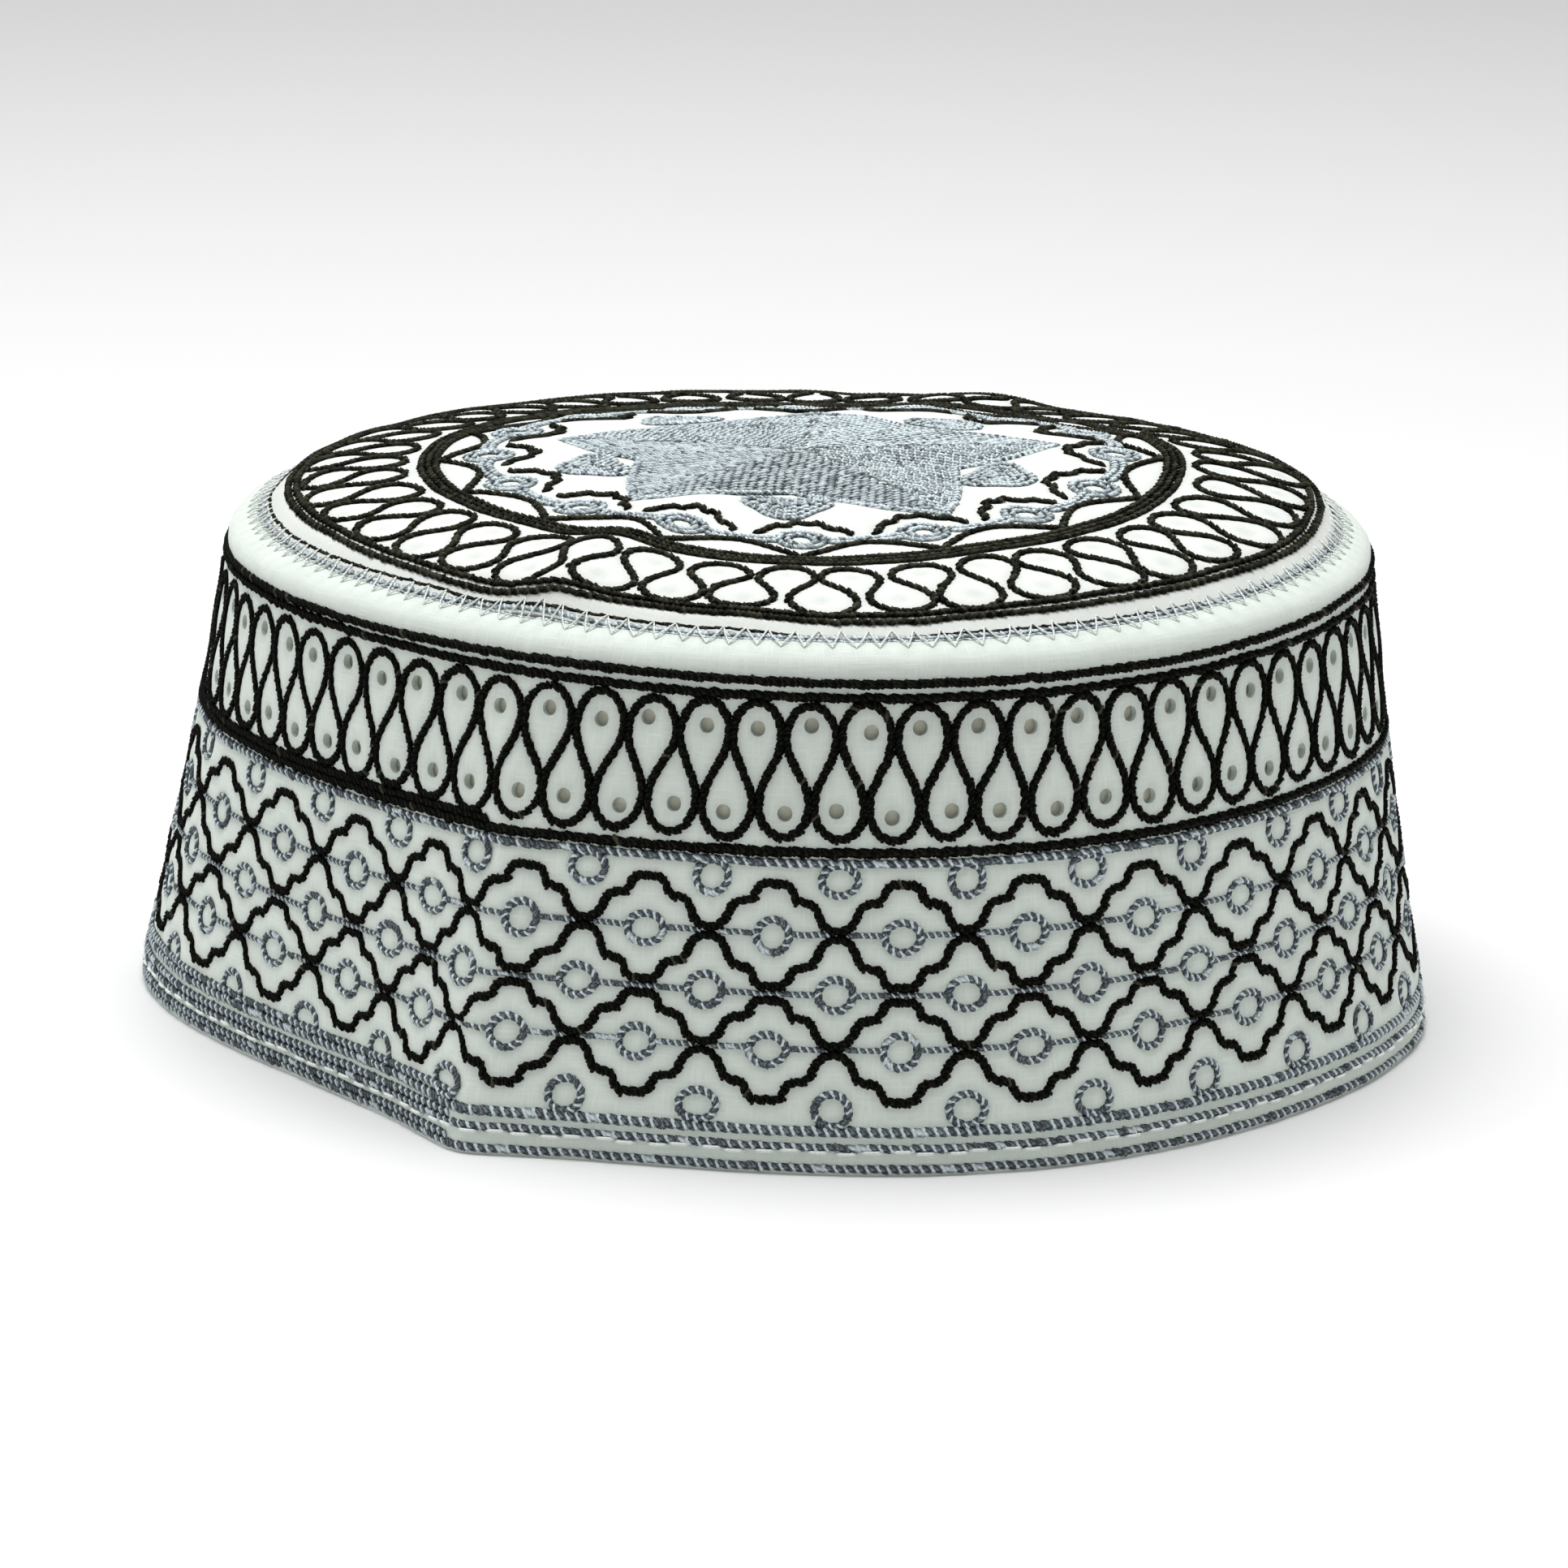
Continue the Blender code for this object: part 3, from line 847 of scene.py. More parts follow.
def maths(tree, operation, *values, clamp=False):
    """The result of a Math node whose inputs are the values, in their order."""
    settings = {"operation": operation, "use_clamp": clamp}
    inputs = {f"_{place}": value for place, value in enumerate(values)}
    return add_node(tree, "ShaderNodeMath", settings, **inputs).outputs[0]


def own_map(tree):
    """The piece's own flat map."""
    return add_node(tree, "ShaderNodeUVMap", {"uv_map": "flat"}).outputs[0]


def own_value(tree, name):
    """The value that the piece stores at each point."""
    return add_node(tree, "ShaderNodeAttribute", {"attribute_name": name}).outputs["Fac"]


def dress(tree, shader, share, first, last, height, strength, depth):
    """The shader's colour, mixed from two by a share, and its bump."""
    colour = add_node(
        tree, "ShaderNodeMix", {"data_type": "RGBA"}, _0=share, _6=(*first, 1.0), _7=(*last, 1.0))
    tree.links.new(colour.outputs[2], shader.inputs["Base Color"])
    bump = add_node(tree, "ShaderNodeBump", Height=height, Strength=strength, Distance=depth)
    tree.links.new(bump.outputs[0], shader.inputs["Normal"])


# %% Cotton and thread
def stretched_noise(tree, place, scale, seed):
    """Noise that is long one way and short the other, like a set of threads seen from above."""
    moved = add_node(tree, "ShaderNodeMapping", Vector=place, Scale=scale, Location=(seed, seed * 0.37, 0.0))
    return add_node(
        tree, "ShaderNodeTexNoise", Vector=moved.outputs[0], Scale=1.0, Detail=1.0, Roughness=0.5).outputs[0]


def cotton(name, pale, shaded, roughness, weave, depth):
    """Plain-woven cotton: weave is threads to a millimetre, depth is how far they stand up. It is painted
    darker, as painted shade, where stitches pull it into creases.
    """
    material, tree, shader = new_material(
        name, Roughness=roughness, Specular_IOR_Level=0.25, Sheen_Weight=0.15, Sheen_Roughness=0.5)
    place = own_map(tree)
    fine = 10.0 * weave
    warp = stretched_noise(tree, place, (fine, fine * 0.10, 1.0), 3.1)
    weft = stretched_noise(tree, place, (fine * 0.10, fine, 1.0), 7.7)
    threads = maths(tree, "MAXIMUM", warp, weft)
    clouds = add_node(
        tree, "ShaderNodeTexNoise", Vector=place, Scale=0.8, Detail=3.0, Roughness=0.55).outputs[0]
    shade = maths(tree, "MULTIPLY_ADD", clouds, 0.34, -0.10)
    # Painted shade: the cloth is darkened towards its shaded colour where stitches pull it in
    shade = maths(tree, "MULTIPLY_ADD", own_value(tree, "pull"), 0.42, shade)
    speck = maths(tree, "MULTIPLY_ADD", threads, -0.50, 0.30)
    shade = maths(tree, "ADD", shade, speck, clamp=True)
    dress(tree, shader, shade, pale, shaded, threads, 0.7, depth)
    return material


def thread(name, dark, painted_highlight, roughness, gloss):
    """Twisted thread: tone picks each stitch's colour, from dark to a painted highlight, and slanted bands on
    its own map are the plies.
    """
    material, tree, shader = new_material(name, Roughness=roughness, Specular_IOR_Level=gloss)
    along, up = add_node(tree, "ShaderNodeSeparateXYZ", Vector=own_map(tree)).outputs[:2]
    slant = maths(tree, "MULTIPLY_ADD", up, 1.2, along)
    ply = maths(tree, "SINE", maths(tree, "MULTIPLY", slant, FULL_TURN / PLY_PERIOD))
    # A stitch's stored tone is random tone times painted highlight, painted sheen and painted glints; the
    # plies shift it
    tone = maths(tree, "MULTIPLY_ADD", ply, 0.13, own_value(tree, "tone"), clamp=True)
    dress(tree, shader, tone, dark, painted_highlight, ply, 0.6, 0.00006)
    return material


band_cotton = cotton("band_cotton", (0.80, 0.87, 0.81), (0.42, 0.47, 0.42), 0.85, 2.4, 0.00009)
crown_cotton = cotton("crown_cotton", (0.82, 0.845, 0.815), (0.56, 0.59, 0.55), 0.85, 2.4, 0.00009)
khaki_cotton = cotton("khaki_cotton", (0.90, 0.88, 0.76), (0.52, 0.50, 0.42), 0.92, 1.6, 0.00016)
# The light end of each thread is its painted highlight: a greenish sheen on the black, silver on the grey
black_thread = thread("black_thread", (0.0008, 0.0010, 0.0008), (0.066, 0.066, 0.044), 0.58, 0.05)
grey_thread = thread("grey_thread", (0.032, 0.046, 0.058), (0.80, 0.91, 0.945), 0.36, 0.35)
white_thread = thread("white_thread", (0.89, 0.94, 0.90), (0.93, 0.97, 0.93), 0.50, 0.40)
print("finishes", len(bpy.data.materials))

# %% [markdown]
# ## The band's cloth
# A grid of points covers the flat strip, fine enough to carry the swells. The eyelets are real holes,
# and the grid makes room for them: its columns are counted so that every eyelet falls on a point, the
# squares around that point are left out, and the nearest rings of points are drawn onto circles. The
# inside face repeats only the rows that the holes need, and a short wall joins the two faces in each.

# %% Grid of the band
COLUMNS_PER_LOOP = 12
COLUMNS = LOOPS_ROUND * COLUMNS_PER_LOOP
LOWER_COLUMN = 2
UPPER_COLUMN = LOWER_COLUMN + COLUMNS_PER_LOOP // 2
EYELET_ROWS_APART = 16
ZONE_MARGIN = 6
ROWS_BELOW = 57
ROWS_ABOVE = 10
HOLE_REACH = 4
HOLE_RING = 2
RING_SPACING = 0.0006

upper_climb, lower_climb = (float(climb_to(height)) for height, _ in EYELET_ROWS)
row_step = (upper_climb - lower_climb) / EYELET_ROWS_APART
zone = lower_climb + row_step * np.arange(-ZONE_MARGIN, EYELET_ROWS_APART + ZONE_MARGIN + 1)
below = np.linspace(0.0, zone[0], ROWS_BELOW + 1)[:-1]
above = np.linspace(zone[-1], BAND_TALL, ROWS_ABOVE + 1)[1:]
grid_rows = np.concatenate([below, zone, above])
LOWER_ROW = ROWS_BELOW + ZONE_MARGIN
UPPER_ROW = LOWER_ROW + EYELET_ROWS_APART
column_step = BAND_LENGTH / COLUMNS
first_column = EYELET_ROWS[1][1] / LOOPS_ROUND - LOWER_COLUMN / COLUMNS
grid_x = np.tile((np.arange(COLUMNS) / COLUMNS + first_column) * BAND_LENGTH, (len(grid_rows), 1))
grid_y = np.tile(grid_rows[:, None], (1, COLUMNS))

# %% Draw the points round each eyelet onto circles
steps = np.arange(-HOLE_REACH, HOLE_REACH + 1)
step_x, step_y = np.meshgrid(steps, steps)
ring = np.maximum(np.abs(step_x), np.abs(step_y))
square = np.stack([step_x * column_step, step_y * row_step], axis=-1)
distance = np.maximum(np.linalg.norm(square, axis=-1, keepdims=True), TINY)
squareness = np.clip((ring - HOLE_RING) / (HOLE_REACH - HOLE_RING), 0.0, 1.0)[..., None]
round_radius = EYELET_RADIUS + RING_SPACING * (ring[..., None] - HOLE_RING)
hole_shift = (1.0 - squareness) * (square / distance * round_radius - square)

hole_columns = []
hole_rows = []
keep = np.ones((len(grid_rows) - 1, COLUMNS), bool)
quads = np.arange(-HOLE_RING, HOLE_RING)
for row, (grid_row, column) in enumerate(((UPPER_ROW, UPPER_COLUMN), (LOWER_ROW, LOWER_COLUMN))):
    index = np.arange(LOOPS_ROUND)
    columns = index * COLUMNS_PER_LOOP + column
    block = (grid_row + step_y[None], (columns[:, None, None] + step_x[None]) % COLUMNS)
    for grid, side, wander in zip((grid_x, grid_y), (0, 1), eyelet_wander(index, row)):
        grid[block] += hole_shift[..., side] + (1.0 - squareness[..., 0]) * wander[:, None, None]
    keep[grid_row + quads[None, :, None], (columns[:, None, None] + quads[None, None, :]) % COLUMNS] = False
    hole_columns.append(columns)
    hole_rows.append(np.full(LOOPS_ROUND, grid_row))
hole_columns = np.concatenate(hole_columns)
hole_rows = np.concatenate(hole_rows)
print("grid", grid_x.shape, "holes", len(hole_rows))

# %% Both faces of the band
HEM_TOP_ROW = 11
HEM_FADE = 0.0009
INNER_RELIEF = 0.2
INNER_HEM = 0.0012
INNER_ROWS_BELOW = (48, 38, 28, 18)

outer_points, _ = band.surface(grid_x, grid_y)
hem_fade = np.clip(grid_y / HEM_FADE, 0.0, 1.0)[..., None]
outer_points = band.place(grid_x, grid_y) * (1.0 - hem_fade) + outer_points * hem_fade
outer_points[0, :, 2] = 0.0

top_row = len(grid_rows) - 1
inner_index = np.concatenate([
    [top_row, top_row - 4, top_row - 7],
    np.arange(UPPER_ROW + HOLE_REACH, UPPER_ROW - HOLE_REACH - 1, -1),
    np.arange(LOWER_ROW + HOLE_REACH, LOWER_ROW - HOLE_REACH - 1, -1),
    [*INNER_ROWS_BELOW, HEM_TOP_ROW, HEM_TOP_ROW - 1, 0],
])
inner_x = grid_x[inner_index]
inner_y = np.maximum(grid_y[inner_index], INNER_HEM)
in_hem = (inner_index < HEM_TOP_ROW)[:, None, None]
inner_points, inner_normals = band.surface(inner_x, inner_y, share=INNER_RELIEF)
inner_points = inner_points - inner_normals * np.where(in_hem, HEM_CLOTH, BAND_CLOTH)
inner_points[-1, :, 2] = 0.0

# %% The band's faces, and the eyelets' walls
band_points = np.concatenate([outer_points, inner_points])
number = np.arange(len(band_points) * COLUMNS).reshape(-1, COLUMNS)
shown = np.ones(number.shape, bool)
shown[:len(keep)] = keep
for place, (upper, lower) in enumerate(zip(inner_index[:-1], inner_index[1:])):
    if upper - lower == 1:
        shown[len(grid_rows) + place] = keep[lower]

walk = [(2, 0), (2, 1), (2, 2), (1, 2), (0, 2), (-1, 2), (-2, 2), (-2, 1)]
walk += [(-across, -up) for across, up in walk]
inner_place = {int(source): place + len(grid_rows) for place, source in enumerate(inner_index)}
walls = []
for across, up in walk:
    inside = np.array([inner_place[int(grid_row) + up] for grid_row in hole_rows])
    column = (hole_columns + across) % COLUMNS
    walls.append(np.stack([number[hole_rows + up, column], number[inside, column]], axis=-1))
walls = np.array(walls)
following = np.roll(walls, -1, axis=0)
hole_walls = np.stack([walls[..., 0], following[..., 0], following[..., 1], walls[..., 1]], axis=-1)

# The inside's flat map lies beside the outside's
INNER_MAP_SHIFT = 0.3
flat_x = np.concatenate([grid_x, inner_x])
flat_y = np.concatenate([grid_y, INNER_MAP_SHIFT - inner_y])
pulled = np.concatenate([band.pull(grid_x, grid_y), INNER_RELIEF * band.pull(inner_x, inner_y)])
band_faces = [wrap_faces(number)[shown], hole_walls.reshape(-1, 4)]
band_cloth = make_piece(
    "band_cloth", band_points.reshape(-1, 3), band_faces, band_cotton,
    flat=np.stack([flat_x, flat_y], axis=-1).reshape(-1, 2), flat_round=BAND_LENGTH, pull=pulled.ravel())

# %% [markdown]
# ## The crown's cloth
# A polar grid would crowd its points at the middle of the star. A square grid pulled onto a disc keeps
# its cells even: each square ring of the grid becomes a circle. The inside face is four times coarser,
# and a strip of triangles joins the two rims.

# %% Both faces of the crown
CROWN_CELLS = 280
COARSER = 4


def disc_grid(cells):
    """Square rings drawn onto circles; a point keeps its ring and its share of the ring's side."""
    line = np.linspace(-1.0, 1.0, cells + 1)
    x, y = np.meshgrid(line, line)
    wide = np.abs(x) >= np.abs(y)
    reach = np.where(wide, x, y)
    safe = np.where(np.abs(reach) < TINY, 1.0, reach)
    turn = math.pi / 4.0 * np.where(wide, y, x) / safe
    return (reach * np.where(wide, np.cos(turn), np.sin(turn)) * SEAM_HALF_WIDTH,
            reach * np.where(wide, np.sin(turn), np.cos(turn)) * SEAM_HALF_WIDTH)


def grid_faces(cells, start):
    """Squares of a grid, and the numbers of its border points walked anticlockwise."""
    number = np.arange((cells + 1) ** 2).reshape(cells + 1, cells + 1) + start
    border = np.concatenate([number[0, :-1], number[:-1, -1], number[-1, :0:-1], number[:0:-1, 0]])
    return wrap_faces(number)[:-1, :-1].reshape(-1, 4), border


top_x, top_y = disc_grid(CROWN_CELLS)
crown_top, _ = crown.surface(top_x, top_y)
under_x, under_y = disc_grid(CROWN_CELLS // COARSER)
crown_under, under_normals = crown.surface(under_x, under_y, share=INNER_RELIEF)
crown_under = crown_under - under_normals * CROWN_CLOTH
top_faces, rim = grid_faces(CROWN_CELLS, 0)
under_faces, under_rim = grid_faces(CROWN_CELLS // COARSER, top_x.size)

# Each coarse step of the lower rim meets four fine steps of the upper one
fine = list(rim.reshape(-1, COARSER).T)
fine.append(np.roll(fine[0], -1))
next_under = np.roll(under_rim, -1)
edge_triangles = np.concatenate([
    np.stack(corners, axis=1) for corners in (
        (fine[0], fine[1], under_rim), (fine[1], fine[2], under_rim), (fine[2], next_under, under_rim),
        (fine[2], fine[3], next_under), (fine[3], fine[4], next_under))])
crown_points = np.concatenate([crown_top.reshape(-1, 3), crown_under.reshape(-1, 3)])
crown_flat = np.concatenate([
    np.stack([top_x, top_y], axis=-1).reshape(-1, 2),
    np.stack([under_x, under_y + INNER_MAP_SHIFT], axis=-1).reshape(-1, 2),
])
crown_pulled = np.concatenate([crown.pull(top_x, top_y).ravel(), np.zeros(under_x.size)])
crown_cloth = make_piece(
    "crown_cloth", crown_points, [top_faces, under_faces[:, ::-1], edge_triangles], crown_cotton,
    flat=crown_flat, pull=crown_pulled)

# %% [markdown]
# ## The lining
# A plain khaki strip inside the band shows through the eyelets as small dark discs. It is a closed
# loft: up its outside, over its top edge and down its inside.

# %% Lining strip
LINING_COLUMNS = 360
LINING_ROWS = 14
LINING_HEIGHTS = (0.0080, 0.0680)

lining_y = climb_to(np.linspace(*LINING_HEIGHTS, LINING_ROWS))
lining_x = np.arange(LINING_COLUMNS) / LINING_COLUMNS * BAND_LENGTH
lining_grid = np.meshgrid(lining_x, np.concatenate([lining_y, lining_y[::-1]]))
depth = np.repeat([BAND_CLOTH + LINING_GAP, BAND_CLOTH + LINING_GAP + LINING_CLOTH], LINING_ROWS)
lining_points = band.place(*lining_grid) - band.normal(*lining_grid) * depth[:, None, None]
number = np.arange(lining_grid[0].size).reshape(-1, LINING_COLUMNS)
lining = make_piece(
    "lining", lining_points.reshape(-1, 3), [wrap_faces(number).reshape(-1, 4)], khaki_cotton,
    flat=np.stack(lining_grid, axis=-1).reshape(-1, 2), flat_round=BAND_LENGTH, pull=np.zeros(number.size))
for piece in (band_cloth, crown_cloth, lining):
    piece.data.set_sharp_from_angle(angle=SHARP_ANGLE)

# %% [markdown]
# ## Chain stitch
# A chain stitch is a loop of thread that the next loop holds down. From above a row of them reads as a
# rope: plump slanted beads, and in each gap a short tick where the next loop comes up. One stitch is
# therefore two small spindles, a bead and a tick, laid over the tail of the next. Each spindle carries a
# painted highlight along its top and painted shade on its flanks, and the ticks are painted brighter.
# The row function walks a line on the pulled cloth, turns every stitch with the line, and stands it on
# the cloth's normal.

# %% One stitch
STRAND_SIDES = 3
# From tail to head: along, off the middle, height over the cloth, girth, painted highlight on top
BEAD = (
    (-0.76, 0.14, 0.10, 0.00, 0.00),
    (-0.38, 0.11, 0.42, 0.86, 0.70),
    (0.00, 0.01, 0.50, 1.00, 1.00),
    (0.38, -0.09, 0.44, 0.88, 0.70),
    (0.72, -0.14, 0.20, 0.00, 0.00),
)
TICK = (
    (0.14, 0.24, 0.26, 0.00, 0.70),
    (0.38, 0.11, 0.66, 1.00, 1.00),
    (0.64, -0.09, 0.66, 1.00, 1.00),
    (0.88, -0.24, 0.26, 0.00, 0.70),
)
BEAD_HALF = (0.37, 0.48)
TICK_HALF = (0.31, 0.32)
# Share of the painted highlight that a strand's sides keep: the rest is painted shade
BEAD_PAINTED_FLANK = 0.12
TICK_PAINTED_FLANK = 0.80


def strand(table, half, painted_flank):
    """A closed spindle from a table: a point, rings of three corners, a point.

    Each ring carries a painted highlight on top, and its sides keep the painted flank's share of it, as
    painted shade.
    """
    rows = np.array(table)
    rings = len(rows) - 2
    turn = np.arange(STRAND_SIDES) / STRAND_SIDES * FULL_TURN + math.pi / 2.0
    ahead, off, height, girth, painted_highlight = rows[1:-1].T[:, :, None]
    across = off + half[0] * girth * np.cos(turn)
    corners = np.stack([ahead + 0.0 * across, across, height + half[1] * girth * np.sin(turn)], axis=-1)
    points = np.vstack([rows[:1, :3], corners.reshape(-1, 3), rows[-1:, :3]])
    painted_top_light = painted_highlight * np.maximum(np.sin(turn) ** 3, painted_flank)
    painted_light_tone = np.concatenate([rows[:1, 4], painted_top_light.ravel(), rows[-1:, 4]])
    around, up = np.meshgrid(np.arange(STRAND_SIDES) / STRAND_SIDES, (np.arange(rings) + 1) / 4.0)
    places = np.vstack([(0.5, 0.0), np.stack([around.ravel(), up.ravel()], axis=1), (0.5, 1.0)])
    number = 1 + np.arange(rings * STRAND_SIDES).reshape(rings, STRAND_SIDES)
    after = np.roll(number, -1, axis=1)
    first, last = np.zeros_like(number[:1]), np.full_like(number[:1], len(points) - 1)
    triangles = ((first, after[:1], number[:1]), (number[:-1], after[:-1], after[1:]),
                 (number[:-1], after[1:], number[1:]), (number[-1:], after[-1:], last))
    faces = np.concatenate([np.stack(corner, axis=-1).reshape(-1, 3) for corner in triangles])
    return points, faces, places, painted_light_tone


bead = strand(BEAD, BEAD_HALF, BEAD_PAINTED_FLANK)
tick = strand(TICK, TICK_HALF, TICK_PAINTED_FLANK)
STRAND_POINTS = (len(bead[0]), len(tick[0]))
STITCH, STITCH_FACES, STITCH_PLACES, STITCH_PAINTED_LIGHT = (np.concatenate(pair) for pair in zip(bead, tick))
STITCH_FACES[len(bead[1]):] += STRAND_POINTS[0]
print("a stitch has", len(STITCH_FACES), "triangles")

# %% Rows of stitches
# Painted sheen: stitches that run along this axis are painted brighter, as if the rayon caught the light
PAINTED_SHEEN_AXIS = np.array([0.79, 0.61, 0.0])
PAINTED_SHEEN_LOW = 0.75
PAINTED_SHEEN_GAIN = 0.55
# Beads take painted glints at this share of the ticks' rate
BEAD_PAINTED_GLINT = 0.06
SIDE_SCATTER = 0.00004
SIZE_SCATTER = 0.05
OVERLAP = 1.06
TONE_SCATTER = 0.4


def walk_row(cloth, path, pitch):
    """Even steps along a path, measured on the pulled cloth: middles, directions and normals."""
    points, normals = cloth.surface(path[:, 0], path[:, 1])
    run = run_along(points)
    count = max(int(round(run[-1] / pitch)), 1)
    step = run[-1] / count
    marks = (np.arange(count) + 0.5) * step

    def at(table, where):
        """The table's values at distances run along the row."""
        return np.stack([np.interp(where, run, table[:, column]) for column in range(3)], axis=1)

    ahead = at(points, np.minimum(marks + 0.3 * step, run[-1])) - at(points, marks - 0.3 * step)
    normal = at(normals, marks)
    ahead -= normal * (ahead * normal).sum(axis=1, keepdims=True)
    ahead /= np.linalg.norm(ahead, axis=1, keepdims=True)
    normal /= np.linalg.norm(normal, axis=1, keepdims=True)
    return at(points, marks), ahead, normal, np.full(count, step)


def sew(name, material, seed, level, painted_glint_share, work, scatter=0.06):
    """A piece of stitched rows; work lists the cloth, the paths and the kind of each set of rows.

    A stitch is the template scaled to its step, width and thickness, turned to its row's direction and
    normal, with a little scatter. Level is the usual brightness of a strand, set low on the band and high on
    the crown as painted shade and painted light, and the glint share is the share of ticks painted bright
    as glints. Each stitch's brightness also carries a painted sheen that follows its direction.
    """
    chance = np.random.default_rng(seed)
    parts = []
    for cloth, paths, (pitch, width, thickness, lift) in work:
        for path in paths:
            middle, ahead, normal, step = walk_row(cloth, path, pitch)
            size = np.full(len(step), width)
            parts.append((middle + normal * lift, ahead, normal, step, size, size / width * thickness))
    middle, ahead, normal, step, size, tall = (np.concatenate(column) for column in zip(*parts))
    count = len(middle)
    # Painted sheen, from each stitch's direction against the fixed axis
    painted_sheen = PAINTED_SHEEN_LOW + PAINTED_SHEEN_GAIN * (ahead @ PAINTED_SHEEN_AXIS) ** 2
    side = np.cross(normal, ahead)
    yaw = chance.normal(0.0, scatter, count)[:, None]
    ahead, side = ahead + side * yaw, side - ahead * yaw
    middle = middle + side * chance.normal(0.0, SIDE_SCATTER, count)[:, None]
    size = size * chance.normal(1.0, SIZE_SCATTER, count)
    length = step * chance.normal(OVERLAP, SIZE_SCATTER, count)
    points = middle[:, None]
    for axis, (direction, scale) in enumerate(((ahead, length), (side, size), (normal, tall))):
        points = points + direction[:, None] * (STITCH[None, :, axis:axis + 1] * scale[:, None, None])
    faces = STITCH_FACES[None] + (np.arange(count) * len(STITCH))[:, None, None]
    tone = level * np.clip(chance.normal(1.0, TONE_SCATTER, (count, 2)), 0.1, 2.0)
    # Painted glints: some ticks, and a few beads, are painted bright
    painted_glint = chance.random((count, 2)) < painted_glint_share * np.array([BEAD_PAINTED_GLINT, 1.0])
    tone = np.where(painted_glint, chance.uniform(1.0, 1.5, (count, 2)), tone) * painted_sheen[:, None]
    # Each strand's tone takes the template's painted highlight on top and painted shade at its ends and sides
    tones = np.repeat(tone, STRAND_POINTS, axis=1) * STITCH_PAINTED_LIGHT[None, :]
    return make_piece(
        name, points.reshape(-1, 3), [faces.reshape(-1, 3)], material,
        flat=np.tile(STITCH_PLACES, (count, 1)), tone=np.clip(tones, 0.0, 1.0).ravel())


# %% [markdown]
# ## Sew the band and the crown
# Each set of rows is a piece of its own, by thread and by place. Black rows use long stitches, rings
# use short ones so that they turn smoothly, and the grey links are thin.

# %% All the stitched rows
# Pitch, width, thickness and lift of each kind of row
LOOP = (0.00148, 0.00200, 0.00080, -0.00015)
ROW = (0.00195, 0.00205, 0.00078, -0.00012)
HEAVY_ROW = (0.00195, 0.00225, 0.00080, -0.00012)
STEPPED = (0.00140, 0.00208, 0.00080, -0.00015)
RING = (0.00125, 0.00176, 0.00070, -0.00012)
LINK = (0.00112, 0.00125, 0.00058, -0.00008)
GREY = (0.00152, 0.00180, 0.00070, -0.00010)
HEM_ROW = (0.00155, 0.00225, 0.00070, -0.00010)
CROWN_LINE = (0.00158, 0.00186, 0.00084, -0.00014)
CROWN_HEAVY = (0.00165, 0.00180, 0.00076, -0.00014)
CROWN_GREY = (0.00130, 0.00205, 0.00064, -0.00010)
FILL = (0.00125, 0.00225, 0.00046, -0.00012)
SEAM_BLACK = (0.00190, 0.00095, 0.00032, -0.00012)
SEAM_GREY = (0.00150, 0.00160, 0.00046, -0.00012)
SEAM_LOW = (0.00150, 0.00090, 0.00034, -0.00012)
seam_black = [ring_row(0.0772, 0.00010, SEAM_STRAY)]
seam_grey = [ring_row(0.0782)]
seam_low = [level_row(SEAM_HEIGHT - 0.0001)]
# Threads on the band get low levels and those on the crown high ones: painted shade on the band, painted
# light on the crown
stitched = [
    sew("black_loop_stitches", black_thread, 11, 0.08, 0.05,
        [(band, black_loops, LOOP), (band, black_rows, ROW), (band, heavy_row, HEAVY_ROW)]),
    sew("black_diamond_stitches", black_thread, 12, 0.07, 0.04, [(band, black_diamonds, STEPPED)]),
    sew("grey_ring_stitches", grey_thread, 13, 0.10, 0.88,
        [(band, grey_rings, RING), (band, grey_links, LINK)]),
    sew("grey_row_stitches", grey_thread, 14, 0.10, 0.88,
        [(band, grey_rows, GREY), (band, hem_row, HEM_ROW)]),
    sew("seam_stitches", grey_thread, 15, 0.60, 0.95,
        [(crown, seam_grey, SEAM_GREY), (band, seam_low, SEAM_LOW)]),
    sew("seam_black_stitches", black_thread, 16, 0.40, 0.30, [(crown, seam_black, SEAM_BLACK)]),
    sew("crown_loop_stitches", black_thread, 17, 0.38, 0.40,
        [(crown, crown_black, CROWN_LINE), (crown, heavy_ring, CROWN_HEAVY)]),
    sew("crown_cell_stitches", black_thread, 18, 0.38, 0.40, [(crown, crown_cells, CROWN_LINE)]),
    sew("crown_grey_stitches", grey_thread, 19, 0.52, 0.95, [(crown, crown_grey, CROWN_GREY)]),
    sew("star_stitches", grey_thread, 20, 0.50, 0.90,
        [(crown, star_fill, FILL), (crown, star_outline, CROWN_GREY)], scatter=0.20),
]

# %% [markdown]
# ## The white zigzag and the running stitch
# A machine zigzag of white thread sews the crown to the band, over the grey seam row. It is one long
# tube: a path that crosses the seam on each leg, and a small five-sided profile carried along it. The
# running stitch between the hem rows is a line of short bowed tubes.

# %% Tubes along paths
TUBE_SIDES = 5
TUBE_END_GIRTH = 0.35


